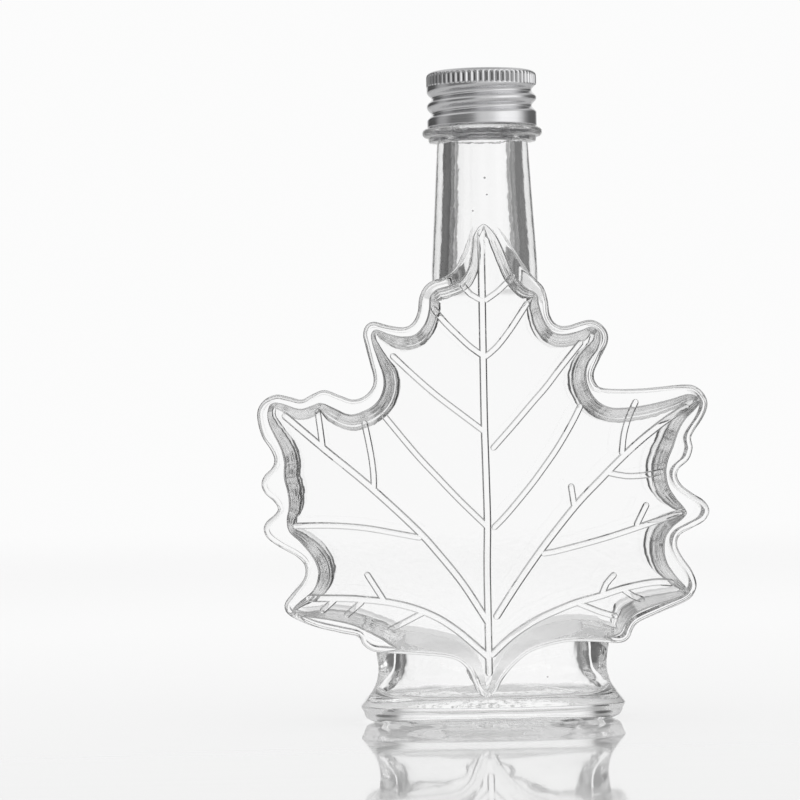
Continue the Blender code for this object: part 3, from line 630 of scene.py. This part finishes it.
def hollow_profile():
    """The hollow's edge, from its side wall to the face: (inset, drop, flow) for each row.

    All are shares of the rounding. The flow is added to the drop where a flow line runs.
    """
    slope = 1.0 / math.tan(CORNER_TURN)
    corner_inset = CORNER * (1.0 - math.cos(CORNER_TURN))
    slope_width = SLOPE_END - corner_inset
    profile = []
    for i in range(CORNER_ROWS):
        turn = CORNER_TURN * i / CORNER_ROWS
        rise = CORNER * (math.sin(CORNER_TURN) - math.sin(turn))
        profile.append((CORNER * (1.0 - math.cos(turn)), STEP_HEIGHT + slope * slope_width + rise, 0.0))
    for i in range(SLOPE_ROWS + 1):
        along = i / SLOPE_ROWS
        flow = FLOW_HEIGHT * math.sin(2.0 * math.pi * FLOW_LINES * along)
        drop = STEP_HEIGHT + slope * slope_width * (1.0 - along)
        profile.append((corner_inset + slope_width * along, drop, flow))
    for i in range(1, STEP_ROWS + 1):
        along = i / STEP_ROWS
        profile.append((SLOPE_END + STEP_WIDTH * along, STEP_HEIGHT * (1.0 - along), 0.0))
    return profile


def hem_share(x, z):
    """1 where the hollow's edge is the hem's plain slope, 0 where it is a round."""
    if z > HEM_TOP_Z:
        return 0.0
    return min(share_between(x, *HEM_LEFT), share_between(x, *HEM_RIGHT))


def slice_above(bm, lowest, place, normal):
    """Cut the faces that lie above a height, along the plane through a place."""
    def above(verts):
        return all(vert.co.z > lowest * MM - CUT_MARGIN for vert in verts)

    parts = [vert for vert in bm.verts if above([vert])]
    parts += [part for part in (*bm.edges, *bm.faces) if above(part.verts)]
    bmesh.ops.bisect_plane(
        bm, geom=parts, dist=CUT_MARGIN, plane_co=Vector(place) * MM, plane_no=normal,
    )


def neck_radius(z):
    """Outer radius of the neck's plain part."""
    share = share_between(z, NECK_FOOT_Z, NECK_TOP_Z)
    return NECK_FOOT_RADIUS + share * (NECK_TOP_RADIUS - NECK_FOOT_RADIUS)


def face_depth(x, z):
    """Depth of the leaf's faces from its middle: the top point leans back and hugs the neck."""
    rise = z - POINT_SLOPE_Z
    if rise <= 0.0:
        return LEAF_HALF_DEPTH
    lean = LEAF_HALF_DEPTH - POINT_SLOPE * rise
    relief = POINT_RELIEF - POINT_SINK * share_between(z, *POINT_SINK_Z)
    over_neck = relief + math.sqrt(max(0.0, neck_radius(z) ** 2 - (x - AXIS_X) ** 2))
    blend = POINT_BLEND * share_between(rise, 0.0, POINT_BLEND_RISE)
    return 0.5 * (lean + over_neck + math.hypot(lean - over_neck, blend))


def hug_neck(bm):
    """Cut the top point's faces into small ones and bend them to face_depth."""
    for i in range(POINT_ROWS + 1):
        lowest = POINT_SLOPE_Z if i else 0.0
        height = POINT_SLOPE_Z + POINT_ROW_HEIGHT * i
        slice_above(bm, lowest, (0.0, 0.0, height), (0.0, 0.0, 1.0))
    for i in range(-POINT_COLUMNS, POINT_COLUMNS + 1):
        place = (AXIS_X + POINT_COLUMN_WIDTH * i, 0.0, 0.0)
        slice_above(bm, POINT_SLOPE_Z, place, (1.0, 0.0, 0.0))
    for vert in bm.verts:
        vert.co.y *= face_depth(vert.co.x / MM, vert.co.z / MM) / LEAF_HALF_DEPTH


def leaf_slab(edge_round):
    """The leaf's outer form: its outline given depth, with the edges of both faces rounded."""
    def edge(side, row, x, z, rounding):
        turn = math.radians(90.0) * row / (EDGE_ROWS - 1)
        return rounding * (1.0 - math.cos(turn)), rounding * (1.0 - math.sin(turn))

    path = smooth_path(LEAF_OUTLINE, OUTLINE_STEP, closed=True)
    bm = edged_solid([(x, z, edge_round) for x, z in path], LEAF_HALF_DEPTH, EDGE_ROWS, edge)
    hug_neck(bm)
    return bm


def leaf_hollow(half_depth, wave):
    """The space inside the leaf, with rounded edges that wave a little as blown glass does."""
    profile = hollow_profile()

    def edge(side, row, x, z, rounding):
        inset_share, drop_share, flow_share = profile[row]
        hem = hem_share(x, z)
        hem_inset = row / (len(profile) - 1)
        hem_drop = HEM_SLOPE * (1.0 - hem_inset)
        drop_share += flow_share * (1.0 + ripple(x, FLOW_APART * side, z, FLOW_WAVE_SIZE))
        inset = rounding * (inset_share + hem * (hem_inset - inset_share))
        drop = rounding * (drop_share + hem * (hem_drop - drop_share))
        rough = STEP_ROUGH if inset_share > SLOPE_END - STEP_LEAD else SLOPE_ROUGH
        depth = EDGE_WAVE_STRETCH * side * (half_depth - drop)
        waves = ripple(x, depth, z, EDGE_WAVE_SIZE)
        return inset + rough * wave * min(1.0, rounding) * waves, drop

    outline = smooth_path(HOLLOW_OUTLINE, HOLLOW_STEP, closed=True)
    bm = edged_solid(outline, half_depth, len(profile), edge)
    slice_above(bm, 0.0, (0.0, 0.0, HOLLOW_SLOPE_Z), (0.0, 0.0, 1.0))
    for vert in bm.verts:
        rise = vert.co.z / MM - HOLLOW_SLOPE_Z
        if rise > 0.0:
            vert.co.y *= 1.0 - HOLLOW_SLOPE * rise / half_depth
    return bm


def neck():
    """The neck, with its bead and collar, and the plain ring under the cap."""
    corner_radius, corner_z = BEAD_RADIUS - BEAD_CORNER, BEAD_HALF_HEIGHT - BEAD_CORNER
    profile = (
        [(0.0, LIP_Z), (LIP_RADIUS - LIP_ROUND, LIP_Z)]
        + arc(LIP_RADIUS - LIP_ROUND, LIP_Z - LIP_ROUND, LIP_ROUND, 80, 0, 6)
        + [(BEAD_ROOT_RADIUS, BEAD_Z + BEAD_HALF_HEIGHT + BEAD_ROOT_RISE)]
        + arc(corner_radius, BEAD_Z + corner_z, BEAD_CORNER, 80, 0, 6)
        + arc(corner_radius, BEAD_Z - corner_z, BEAD_CORNER, 0, -80, 6)
        + [(COLLAR_RADIUS + COLLAR_FILLET, BEAD_Z - BEAD_HALF_HEIGHT - COLLAR_FILLET),
           (COLLAR_RADIUS, COLLAR_Z), (COLLAR_RADIUS - COLLAR_CHAMFER, COLLAR_Z - COLLAR_CHAMFER),
           (NECK_TOP_RADIUS, NECK_TOP_Z), (NECK_FOOT_RADIUS, NECK_FOOT_Z),
           (NECK_FOOT_RADIUS, NECK_BURIED_Z), (0.0, NECK_BURIED_Z)]
    )
    return turned(profile, NECK_STEPS)


def bore(wave):
    """The way in: straight at the mouth, then widening and waving down into the hollow."""
    def waves(x, y, z):
        return wave * ripple(x, y, z, BORE_WAVE_SIZE) * share_between(LIP_Z - z, *BORE_WAVE_START)

    def ring_waves(x, y, z):
        in_ring = abs(z - BEAD_Z) < BEAD_HALF_HEIGHT
        return RING_WAVES * wave * ripple(x, y, z, RING_WAVE_SIZE) if in_ring else 0.0

    bm = turned(
        [(0.0, LIP_Z + MOUTH_FLARE[0][1])]
        + [(BORE_RADIUS + wider, LIP_Z + above) for wider, above in MOUTH_FLARE]
        + arc(BORE_RADIUS + MOUTH_ROUND, LIP_Z - MOUTH_ROUND, MOUTH_ROUND, 120, 180, 5)
        + smooth_path(BORE_SECTIONS, BORE_STEP)
        + [(0.0, BORE_SECTIONS[-1][1])],
        BORE_STEPS,
    )
    move_from_axis(bm, waves)
    move_from_axis(bm, ring_waves)
    return bm


def foot():
    """The flared oval foot, whose thick lower edge waves a little."""
    def waves(x, y, z):
        wide, deep, high = FOOT_WAVE_SIZE
        return FOOT_WAVE * ripple(x / wide, y / deep, z / high, 1.0) * share_between(z, *FOOT_WAVE_Z)

    bm = oval_loft(FOOT_SECTIONS)
    move_from_axis(bm, waves)
    return bm


def foot_hollow(wave):
    """The foot's own hollow, with a wavy push-up in the middle of its floor."""
    bm = oval_loft(FOOT_HOLLOW_SECTIONS)
    top_z = FOOT_HOLLOW_SECTIONS[-1][2]
    for vert in bm.verts:
        x, y, z = vert.co / MM
        if z < top_z - 1.0:
            vert.co.z += wave * ripple(x, y, z, PUSH_UP_WAVE_SIZE) * MM
    move_from_axis(bm, lambda x, y, z: wave * ripple(x, y, z, FOOT_HOLLOW_WAVE_SIZE))
    return bm


def foot_recess():
    """The shallow recess under the foot, stippled as the moulds leave it."""
    bm = oval_loft(FOOT_RECESS_SECTIONS)
    for vert in bm.verts:
        x, y, z = vert.co / MM
        if z > 0.1:
            nearest = noise.voronoi(Vector((x, y, 0.0)) / STIPPLE_SPACING)[0][0]
            vert.co.z += STIPPLE_HEIGHT * max(0.0, 1.0 - nearest / STIPPLE_RADIUS) * MM
    return bm


def vein(points, half_width, height):
    """One raised vein: a bar with sloping flanks and round ends, sunk in the front face."""
    route = [Vector((x, -face_depth(x, z), z)) for x, z in smooth_path(points, VEIN_STEP)]
    turns = [math.radians(turn) for turn in VEIN_END_TURNS]
    round_end = [(math.sin(turn), math.cos(turn)) for turn in turns]
    start_way, end_way = (route[0] - route[1]).normalized(), (route[-1] - route[-2]).normalized()
    stations = [(route[0] + start_way * half_width * out, width) for out, width in reversed(round_end)]
    stations += [(point, 1.0) for point in route]
    stations += [(route[-1] + end_way * half_width * out, width) for out, width in round_end]
    section = [(-across, up) for across, up in reversed(VEIN_SECTION[1:])] + list(VEIN_SECTION)
    rings = []
    for i, (centre, width) in enumerate(stations):
        along = stations[min(len(stations) - 1, i + 1)][0] - stations[max(0, i - 1)][0]
        side = along.cross(Vector((0.0, 1.0, 0.0))).normalized()
        out = along.cross(side).normalized()
        if out.y > 0.0:
            out.negate()
        low = (0.5 + 0.5 * width) * share_between(centre.z, VEIN_FADE_Z[1], VEIN_FADE_Z[0])
        rings.append([
            centre + side * across * half_width * width + out * up * height * (low if up > 0.0 else 1.0)
            for across, up in section
        ])
    return drawn_through(rings)


def bubble(x, y, z, radius):
    bm = bmesh.new()
    bmesh.ops.create_icosphere(
        bm, subdivisions=2, radius=radius * MM, matrix=Matrix.Translation(Vector((x, y, z)) * MM),
    )
    return bm


def guide_collection(name):
    collection = bpy.data.collections.new(name)
    bpy.context.scene.collection.children.link(collection)
    return collection


def remove_collection(collection):
    for guide in list(collection.objects):
        bpy.data.objects.remove(guide)
    bpy.data.collections.remove(collection)


def add_boolean(target, name, operation, collection):
    boolean = target.modifiers.new(name, "BOOLEAN")
    boolean.operation = operation
    boolean.operand_type = "COLLECTION"
    boolean.collection = collection
    boolean.solver = "EXACT"
    boolean.material_mode = "TRANSFER"


def applied_copy(source, name):
    """A new object with the mesh that the source's modifiers make; the source is removed."""
    bpy.context.view_layer.update()
    depsgraph = bpy.context.evaluated_depsgraph_get()
    mesh = bpy.data.meshes.new_from_object(source.evaluated_get(depsgraph))
    bpy.data.objects.remove(source)
    mesh.name = name
    made = bpy.data.objects.new(name, mesh)
    bpy.context.scene.collection.objects.link(made)
    return made


def glass_bottle(settings, outer_glass, leaf_glass_with_painted_shade, vein_glass_with_painted_shade, hollow_glass_with_painted_shade, bore_glass_with_painted_shade):
    """The bottle: leaf, neck, foot and veins joined into one body, then hollowed out."""
    joined = guide_collection("joined_pieces")
    cutters = guide_collection("cutters")
    wave = settings.ripple / MM
    height = settings.vein_height / MM
    blank = mesh_object("leaf_blank", leaf_slab(settings.edge_round / MM), leaf_glass_with_painted_shade)
    mesh_object("neck_blank", neck(), outer_glass, joined)
    mesh_object("foot_blank", foot(), outer_glass, joined)
    for points in MAIN_VEINS:
        bar = vein(points, settings.main_vein / MM, height)
        mesh_object("main_vein", bar, vein_glass_with_painted_shade, joined)
    for points in BRANCH_VEINS:
        bar = vein(points, settings.branch_vein / MM, height)
        mesh_object("branch_vein", bar, vein_glass_with_painted_shade, joined)
    hollow = leaf_hollow(LEAF_HALF_DEPTH - settings.wall / MM, wave)
    mesh_object("leaf_hollow", hollow, hollow_glass_with_painted_shade, cutters)
    mesh_object("bore", bore(BORE_RIPPLE * wave), bore_glass_with_painted_shade, cutters)
    mesh_object("foot_hollow", foot_hollow(wave), hollow_glass_with_painted_shade, cutters)
    mesh_object("foot_recess", foot_recess(), outer_glass, cutters)
    # The bubbles take the hollow's glass, and with it the painted shade above the foot.
    for place in BUBBLES:
        mesh_object("bubble", bubble(*place), hollow_glass_with_painted_shade, cutters)
    add_boolean(blank, "Join the pieces", "UNION", joined)
    add_boolean(blank, "Hollow it out", "DIFFERENCE", cutters)
    made = applied_copy(blank, "clear_glass_bottle")
    remove_collection(joined)
    remove_collection(cutters)
    made.data.shade_smooth()
    made.data.set_sharp_from_angle(angle=SHARP_ANGLE)
    weighted = made.modifiers.new("Weighted Normal", "WEIGHTED_NORMAL")
    weighted.mode = "FACE_AREA"
    weighted.weight = 50
    weighted.keep_sharp = True
    return made


# ---------------- the cap

def groove_depth(angle, z):
    """How deep the rolled thread is at an angle from the cap's front and a height."""
    deepest = 0.0
    for turn in range(-2, 2):
        turns = turn + angle / (2.0 * math.pi)
        fade_in = (turns - GROOVE_TURNS[0]) / GROOVE_FADE_TURNS
        fade_out = (GROOVE_TURNS[1] - turns) / GROOVE_FADE_TURNS
        strength = max(0.0, min(1.0, fade_in, fade_out))
        across = (z - GROOVE_FRONT_Z - GROOVE_PITCH * turns) / GROOVE_HALF_WIDTH
        if abs(across) < 1.0:
            deepest = max(deepest, strength * GROOVE_DEPTH * math.cos(across * math.pi / 2.0) ** 2)
    return deepest


def cap_relief(settings, x, y, z):
    """How far the cap's side is pressed in at a place, by the thread and the flutes."""
    if math.hypot(x, y) < CAP_RADIUS - CAP_CORNER:
        return 0.0
    angle = math.atan2(x, -y)
    band = min(
        share_between(z - FLUTE_BOTTOM_Z, *FLUTE_FOOT_FADE),
        share_between(z - FLUTE_TOP_Z, *FLUTE_TOP_FADE),
    )
    fluting = settings.flute_depth / MM * (0.5 - 0.5 * math.cos(settings.flutes * angle))
    return groove_depth(angle, z) + band * fluting


def screw_cap(settings, material):
    """The cap: thin sheet drawn into a cup, with a fluted band, a rolled thread and a rolled edge."""
    side_top, side_bottom = CAP_TOP_Z - CAP_CORNER, CAP_RIM_Z + RIM_ROUND
    rings = round((side_top - side_bottom) / CAP_RING_STEP)
    profile = (
        [(float(i), CAP_TOP_Z) for i in range(11)]
        + arc(CAP_RADIUS - CAP_CORNER, side_top, CAP_CORNER, 88, 0, 9)
        + [(CAP_RADIUS, side_top - (side_top - side_bottom) * i / rings) for i in range(1, rings)]
        + arc(CAP_RADIUS - RIM_ROUND, side_bottom, RIM_ROUND, 0, -90, 5)
    )
    bm = turned(profile, CAP_STEPS)
    move_from_axis(bm, lambda x, y, z: -cap_relief(settings, x, y, z))
    made = mesh_object("aluminium_screw_cap", bm, material)
    made.data.shade_smooth()
    sheet = made.modifiers.new("Sheet", "SOLIDIFY")
    sheet.thickness = settings.sheet
    sheet.offset = -1.0
    return made


# ---------------- shader maths

class Socket:
    """A socket of a node tree. Python's operators on it add Math nodes."""

    def __init__(self, nodes, output):
        self.nodes = nodes
        self.output = output

    def maths(self, operation, *values):
        return self.nodes.add("ShaderNodeMath", {"operation": operation}, dict(enumerate(values)))

    def __add__(self, other):
        return self.maths("ADD", self, other)

    def __sub__(self, other):
        return self.maths("SUBTRACT", self, other)

    def __rsub__(self, other):
        return self.maths("SUBTRACT", other, self)

    def __mul__(self, other):
        return self.maths("MULTIPLY", self, other)

    def __neg__(self):
        return self.maths("MULTIPLY", self, -1.0)

    __radd__ = __add__
    __rmul__ = __mul__

    def toward(self, other, share):
        """This value, moved toward the other one by the share."""
        return self * (1.0 - share) + share * other


class Nodes:
    """Adds nodes to a material's or a world's tree."""

    def __init__(self, owner):
        owner.use_nodes = True
        self.tree = owner.node_tree

    def add(self, kind, settings=None, sockets=None, output=0):
        """Add a node: its settings are set first, then its sockets, and one output comes back."""
        node = self.tree.nodes.new(kind)
        for name, value in (settings or {}).items():
            if name == "stops":
                self.set_stops(node.color_ramp, value)
            else:
                setattr(node, name, value)
        self.fill(node, sockets or {})
        return Socket(self, node.outputs[output])

    def set_stops(self, ramp, stops):
        """Give a ramp its (position, level) stops."""
        while len(ramp.elements) > 1:
            ramp.elements.remove(ramp.elements[-1])
        ramp.elements[0].position = stops[0][0]
        for position, _ in stops[1:]:
            ramp.elements.new(position)
        for element, (_, level) in zip(ramp.elements, stops):
            element.color = (level, level, level, 1.0)

    def fill(self, node, sockets):
        """Set or link a node's input sockets."""
        for name, value in sockets.items():
            if isinstance(value, Socket):
                self.tree.links.new(value.output, node.inputs[name])
            else:
                node.inputs[name].default_value = value

    def smoothstep(self, value, start, end):
        """0 at start, 1 at end and a smooth step between them."""
        return self.add(
            "ShaderNodeMapRange", {"interpolation_type": "SMOOTHSTEP"},
            {"Value": value, "From Min": start, "From Max": end},
        )

    def object_place(self, scale=(1.0, 1.0, 1.0)):
        """Object coordinates times a scale."""
        place = self.add("ShaderNodeTexCoord", output="Object")
        return self.add("ShaderNodeMapping", None, {"Vector": place, "Scale": scale})

    def distance(self, scale=(1.0, 1.0, 1.0)):
        """Distance from the object's origin, with its axes scaled."""
        place = {"Vector": self.object_place(scale)}
        return self.add("ShaderNodeVectorMath", {"operation": "LENGTH"}, place, "Value")

    def part_of(self, coordinates, axis):
        """One part of the Object, Normal or Generated coordinates."""
        place = self.add("ShaderNodeTexCoord", output=coordinates)
        return self.add("ShaderNodeSeparateXYZ", None, {"Vector": place}, output=axis)

    def over_height(self, start, end):
        """0 at one height and 1 at another, both in millimetres."""
        return self.smoothstep(self.part_of("Object", "Z"), start * MM, end * MM)

    def facing(self, axis):
        """How squarely the surface faces along an axis, either way."""
        part = self.part_of("Normal", axis)
        return part.maths("ABSOLUTE", part)

    def facing_sideways(self, rise, fall):
        """1 where the surface faces left or right by an amount past the rise and short of the fall."""
        sideways = self.facing("X")
        return self.smoothstep(sideways, *rise) * self.smoothstep(sideways, *fall)

    def scaled(self, colour, share):
        """A colour times a share."""
        return self.add(
            "ShaderNodeVectorMath", {"operation": "SCALE"}, {"Vector": colour, "Scale": share},
        )

    def noise(self, place, scale, detail=2.0):
        """Noise between 0 and 1."""
        return self.add(
            "ShaderNodeTexNoise", None, {"Vector": place, "Scale": scale, "Detail": detail},
        )

    def bump(self, height, strength, distance):
        return self.add(
            "ShaderNodeBump", None, {"Height": height, "Strength": strength, "Distance": distance},
        )


def new_material(name, sockets):
    """A Principled material with the given socket values, and its Nodes."""
    material = bpy.data.materials.new(name)
    nodes = Nodes(material)
    shader = nodes.tree.nodes["Principled BSDF"]
    nodes.fill(shader, sockets)
    return material, nodes, shader


def clear_glass(name, settings, waves, paint_shade=None, sparkle=None):
    """Clear glass whose surface waves faintly, by waves of a size and a depth.

    A function for painted shade, if given, tells how much of the colour steep places lose,
    and sparkle gives an uneven height.
    """
    material, nodes, shader = new_material(name, {
        "Base Color": (*settings.colour, 1.0),
        "Roughness": 0.0,
        "IOR": settings.ior,
        "Transmission Weight": 1.0,
    })
    size, depth = waves
    height = nodes.noise(nodes.object_place(), 1.0 / (size * MM))
    if sparkle:
        height = height + sparkle(nodes)
    nodes.fill(shader, {"Normal": nodes.bump(height, 1.0, depth * MM)})
    if paint_shade:
        # painted shade: the glass's colour is darkened where its surface turns steeply
        nodes.fill(shader, {"Base Color": nodes.scaled(settings.colour, 1.0 - paint_shade(nodes))})
    return material


def ring_sparkle(nodes):
    """The neck's bead and collar are rough from the mould."""
    on_ring = nodes.over_height(*RING_FOOT_Z) * nodes.over_height(*RING_HEAD_Z)
    return RING_ROUGH * on_ring * nodes.noise(nodes.object_place(), RING_GRAIN)


def painted_shade_on_flanks(nodes):
    """Painted shade on vein flanks, which bend light away; most on flanks that face right."""
    right = nodes.smoothstep(nodes.part_of("Normal", "X"), *FLANK_RIGHT)
    return nodes.smoothstep(nodes.facing("Y"), *FLANK_FACING) * (FLANK_PAINTED_SHADE + FLANK_PAINTED_SHADE_RIGHT * right)


def painted_shade_on_rim(nodes):
    """Painted shade where the leaf's rounded rim turns to the side and bends the light away."""
    return RIM_PAINTED_SHADE * nodes.smoothstep(nodes.facing("Y"), *RIM_FACING)


def painted_shade_on_hollow_edge(nodes):
    """Painted shade: grey on the hollow's edge, black where a steep step faces left or right."""
    grey = nodes.smoothstep(nodes.facing("Y"), *EDGE_FACING)
    black = nodes.facing_sideways(*STEP_FACING)
    return nodes.over_height(*EDGE_FADE_Z) * (EDGE_PAINTED_SHADE * grey + STEP_PAINTED_SHADE * black)


def painted_shade_on_bore(nodes):
    """Painted shade: a thin dark line on either side of the bore's wall."""
    return BORE_PAINTED_SHADE * nodes.facing_sideways(*BORE_FACING)


def satin_aluminium_with_painted_shade(settings):
    """Rolled aluminium: fine grain round the side and across the top, painted shade in the grooves."""
    material, nodes, shader = new_material("satin_aluminium_with_painted_shade", {"Metallic": 1.0})
    grain_round = nodes.noise(nodes.object_place(GRAIN_ROUND), 1.0, 4.0)
    grain_across = nodes.noise(nodes.object_place(GRAIN_ACROSS), 1.0, 4.0)
    grain = grain_round.toward(grain_across, nodes.over_height(*ACROSS_Z))
    blotches = nodes.noise(nodes.object_place(), BLOTCHES)
    across, along = nodes.part_of("Object", "X") - AXIS_X * MM, nodes.part_of("Object", "Y")
    angle = across.maths("ARCTAN2", across, -along)
    painted_groove_shade = nodes.smoothstep(angle.maths("COSINE", settings.flutes * angle), -0.1, -0.8)
    fluted = nodes.over_height(*SHADE_FOOT_Z) * nodes.over_height(*SHADE_TOP_Z)
    # painted shade: the grooves between the flutes are darkened
    tone = (0.86 + 0.18 * grain + 0.10 * blotches) * (1.0 - FLUTE_SHADE * painted_groove_shade * fluted)
    nodes.fill(shader, {
        "Base Color": nodes.scaled(settings.colour, tone),
        "Roughness": settings.roughness - 0.06 + 0.12 * grain,
        "Normal": nodes.bump(grain, 0.35, 0.02 * MM),
    })
    return material


# ---------------- the stage

CAMERA_X = -17.92        # the camera stands level, a little left of the bottle
CAMERA_Z = 71.1
CAMERA_SENSOR = 36.0
FLOOR_RADIUS = 3.0       # in metres
PAINTED_LIGHT_SPOT = (1 / 0.030, 1 / 0.015, 1.0)  # painted light: the floor glows, brightest under the foot
PAINTED_LIGHT_AROUND = 0.50       # share of that painted light round the foot
PAINTED_LIGHT_FADE = (0.3, 0.9)
FLOOR_FADE = (0.35, 1.2)     # the floor melts into the backdrop over this distance, in metres

# Level of the light round the bottle: (degrees from straight behind it, to the right, level).
LIGHT_ROUND = (
    (-180, 0.78), (-170, 0.66), (-160, 0.32), (-148, 0.22), (-112, 0.20), (-95, 0.45), (-78, 0.42),
    (-64, 0.11), (-30, 0.09), (-25, 0.16), (-20, 0.74), (-15, 0.93), (-7, 0.97), (7, 0.97),
    (15, 0.93), (20, 0.76), (25, 0.24), (30, 0.14), (64, 0.15), (78, 0.34), (88, 0.70),
    (104, 1.20), (140, 1.30), (158, 0.90), (170, 0.78), (180, 0.78),
)
BRIGHTEST = 1.3          # the ramp's full level
LIGHT_ABOVE = 0.74
LIGHT_OVERHEAD = 0.50
LIGHT_BELOW = 0.60
RISE_ABOVE = (15.0, 45.0)    # degrees over which the light from above takes over
RISE_OVERHEAD = (50.0, 75.0)
FALL_BELOW = (3.0, 7.0)


def backdrop():
    """Soft light from all round: a bright panel behind, dark cards beside it, a panel on the right."""
    world = bpy.data.worlds.new("soft_studio")
    bpy.context.scene.world = world
    nodes = Nodes(world)
    x, y, z = (nodes.part_of("Generated", axis) for axis in "XYZ")
    turn = x.maths("ARCTAN2", x, y) * (0.5 / math.pi) + 0.5
    rise = z.maths("ARCSINE", z) * math.degrees(1.0)
    stops = [(0.5 + degrees / 360.0, level / BRIGHTEST) for degrees, level in LIGHT_ROUND]
    level = BRIGHTEST * nodes.add("ShaderNodeValToRGB", {"stops": stops}, {"Fac": turn})
    level = level.toward(LIGHT_ABOVE, nodes.smoothstep(rise, *RISE_ABOVE))
    level = level.toward(LIGHT_OVERHEAD, nodes.smoothstep(rise, *RISE_OVERHEAD))
    level = level.toward(LIGHT_BELOW, nodes.smoothstep(-rise, *FALL_BELOW))
    background = nodes.tree.nodes["Background"]
    nodes.fill(background, {"Color": (1.0, 1.0, 1.0, 1.0), "Strength": level})


def pale_floor_with_painted_light(settings):
    """A glossy pale floor that melts into the backdrop; its glow is painted light, most under the foot.
    """
    bm = bmesh.new()
    bmesh.ops.create_circle(bm, cap_ends=True, segments=128, radius=FLOOR_RADIUS)
    tone = settings.floor_tone
    material, nodes, shader = new_material("pale_floor_with_painted_light", {
        "Base Color": (tone, tone, tone, 1.0),
        # painted light: how strongly the floor glows
        "Emission Strength": settings.painted_floor_light,
        "Coat Weight": 0.5,
        "Coat Roughness": 0.02,
    })
    away = nodes.distance()
    # painted light: the glow is brightest under the foot and fades out round it
    painted_light_under_foot = nodes.smoothstep(nodes.distance(PAINTED_LIGHT_SPOT), 1.0, 0.8)
    around = nodes.smoothstep(away, *PAINTED_LIGHT_FADE)
    painted_glow = painted_light_under_foot.toward(1.0, PAINTED_LIGHT_AROUND) * (1.0 - around)
    streaks = nodes.noise(nodes.object_place((6.0, 60.0, 1.0)), 1.0, 3.0)
    nodes.fill(shader, {
        "Alpha": 1.0 - nodes.smoothstep(away, *FLOOR_FADE),
        "Emission Color": nodes.scaled((1.0, 1.0, 1.0), painted_glow),
        "Roughness": 0.02 + 0.06 * streaks,
        "Normal": nodes.bump(streaks, 0.25, 0.1 * MM),
    })
    return mesh_object("floor", bm, material)


def place_camera(settings):
    camera_data = bpy.data.cameras.new("camera")
    camera_data.lens = settings.lens
    camera_data.sensor_width = CAMERA_SENSOR
    camera = bpy.data.objects.new("camera", camera_data)
    bpy.context.scene.collection.objects.link(camera)
    place = Vector((CAMERA_X * MM, -settings.camera_distance, CAMERA_Z * MM))
    upright = Matrix.Rotation(math.radians(90.0), 4, "X")
    roll = Matrix.Rotation(-settings.camera_roll, 4, "Z")
    camera.matrix_world = Matrix.Translation(place) @ upright @ roll
    bpy.context.scene.camera = camera


# ---------------- operators and panel

def dress(piece, node):
    """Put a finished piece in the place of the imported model's node."""
    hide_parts(node)
    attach(piece, ROOT)


class LEAFBOTTLE_OT_add_glass(Operator):
    """Add the clear glass bottle"""

    bl_idname = "leaf_bottle.add_glass"
    bl_label = "Glass Bottle"

    def execute(self, context):
        settings = context.scene.leaf_bottle.glass
        glasses = (
            clear_glass("clear_glass", settings, SMOOTH_WAVES, sparkle=ring_sparkle),
            clear_glass("leaf_glass_with_painted_shade", settings, SMOOTH_WAVES, paint_shade=painted_shade_on_rim),
            clear_glass("vein_glass_with_painted_shade", settings, SMOOTH_WAVES, paint_shade=painted_shade_on_flanks),
            clear_glass("hollow_glass_with_painted_shade", settings, PRESSED_WAVES, paint_shade=painted_shade_on_hollow_edge),
            clear_glass("bore_glass_with_painted_shade", settings, BORE_WAVES, paint_shade=painted_shade_on_bore),
        )
        dress(glass_bottle(settings, *glasses), "bottle")
        return {"FINISHED"}


class LEAFBOTTLE_OT_add_cap(Operator):
    """Add the aluminium screw cap"""

    bl_idname = "leaf_bottle.add_cap"
    bl_label = "Screw Cap"

    def execute(self, context):
        settings = context.scene.leaf_bottle.cap
        dress(screw_cap(settings, satin_aluminium_with_painted_shade(settings)), "cap")
        return {"FINISHED"}


class LEAFBOTTLE_OT_add_stage(Operator):
    """Add the floor, the light and the camera"""

    bl_idname = "leaf_bottle.add_stage"
    bl_label = "Stage"

    def execute(self, context):
        settings = context.scene.leaf_bottle.stage
        pale_floor_with_painted_light(settings)
        backdrop()
        place_camera(settings)
        scene = context.scene
        scene.view_settings.view_transform = "Standard"
        scene.cycles.max_bounces = 40
        scene.cycles.transmission_bounces = 40
        scene.cycles.glossy_bounces = 16
        scene.cycles.use_denoising = True
        return {"FINISHED"}


class LEAFBOTTLE_PT_pieces(Panel):
    bl_label = "Maple Leaf Bottle"
    bl_space_type = "VIEW_3D"
    bl_region_type = "UI"
    bl_category = "Maple Leaf Bottle"

    def draw(self, context):
        settings = context.scene.leaf_bottle
        for operator, group in zip(OPERATORS, (settings.glass, settings.cap, settings.stage)):
            column = self.layout.column()
            column.operator(operator.bl_idname)
            for name in group.__annotations__:
                column.prop(group, name)


OPERATORS = (LEAFBOTTLE_OT_add_glass, LEAFBOTTLE_OT_add_cap, LEAFBOTTLE_OT_add_stage)
CLASSES = (
    GlassSettings, CapSettings, StageSettings, LeafBottleSettings, *OPERATORS, LEAFBOTTLE_PT_pieces,
)


def register():
    for cls in CLASSES:
        bpy.utils.register_class(cls)
    bpy.types.Scene.leaf_bottle = PointerProperty(type=LeafBottleSettings)


def unregister():
    del bpy.types.Scene.leaf_bottle
    for cls in reversed(CLASSES):
        bpy.utils.unregister_class(cls)


def main():
    register()
    bpy.ops.leaf_bottle.add_glass()
    bpy.ops.leaf_bottle.add_cap()
    bpy.ops.leaf_bottle.add_stage()


if __name__ == "__main__":
    main()
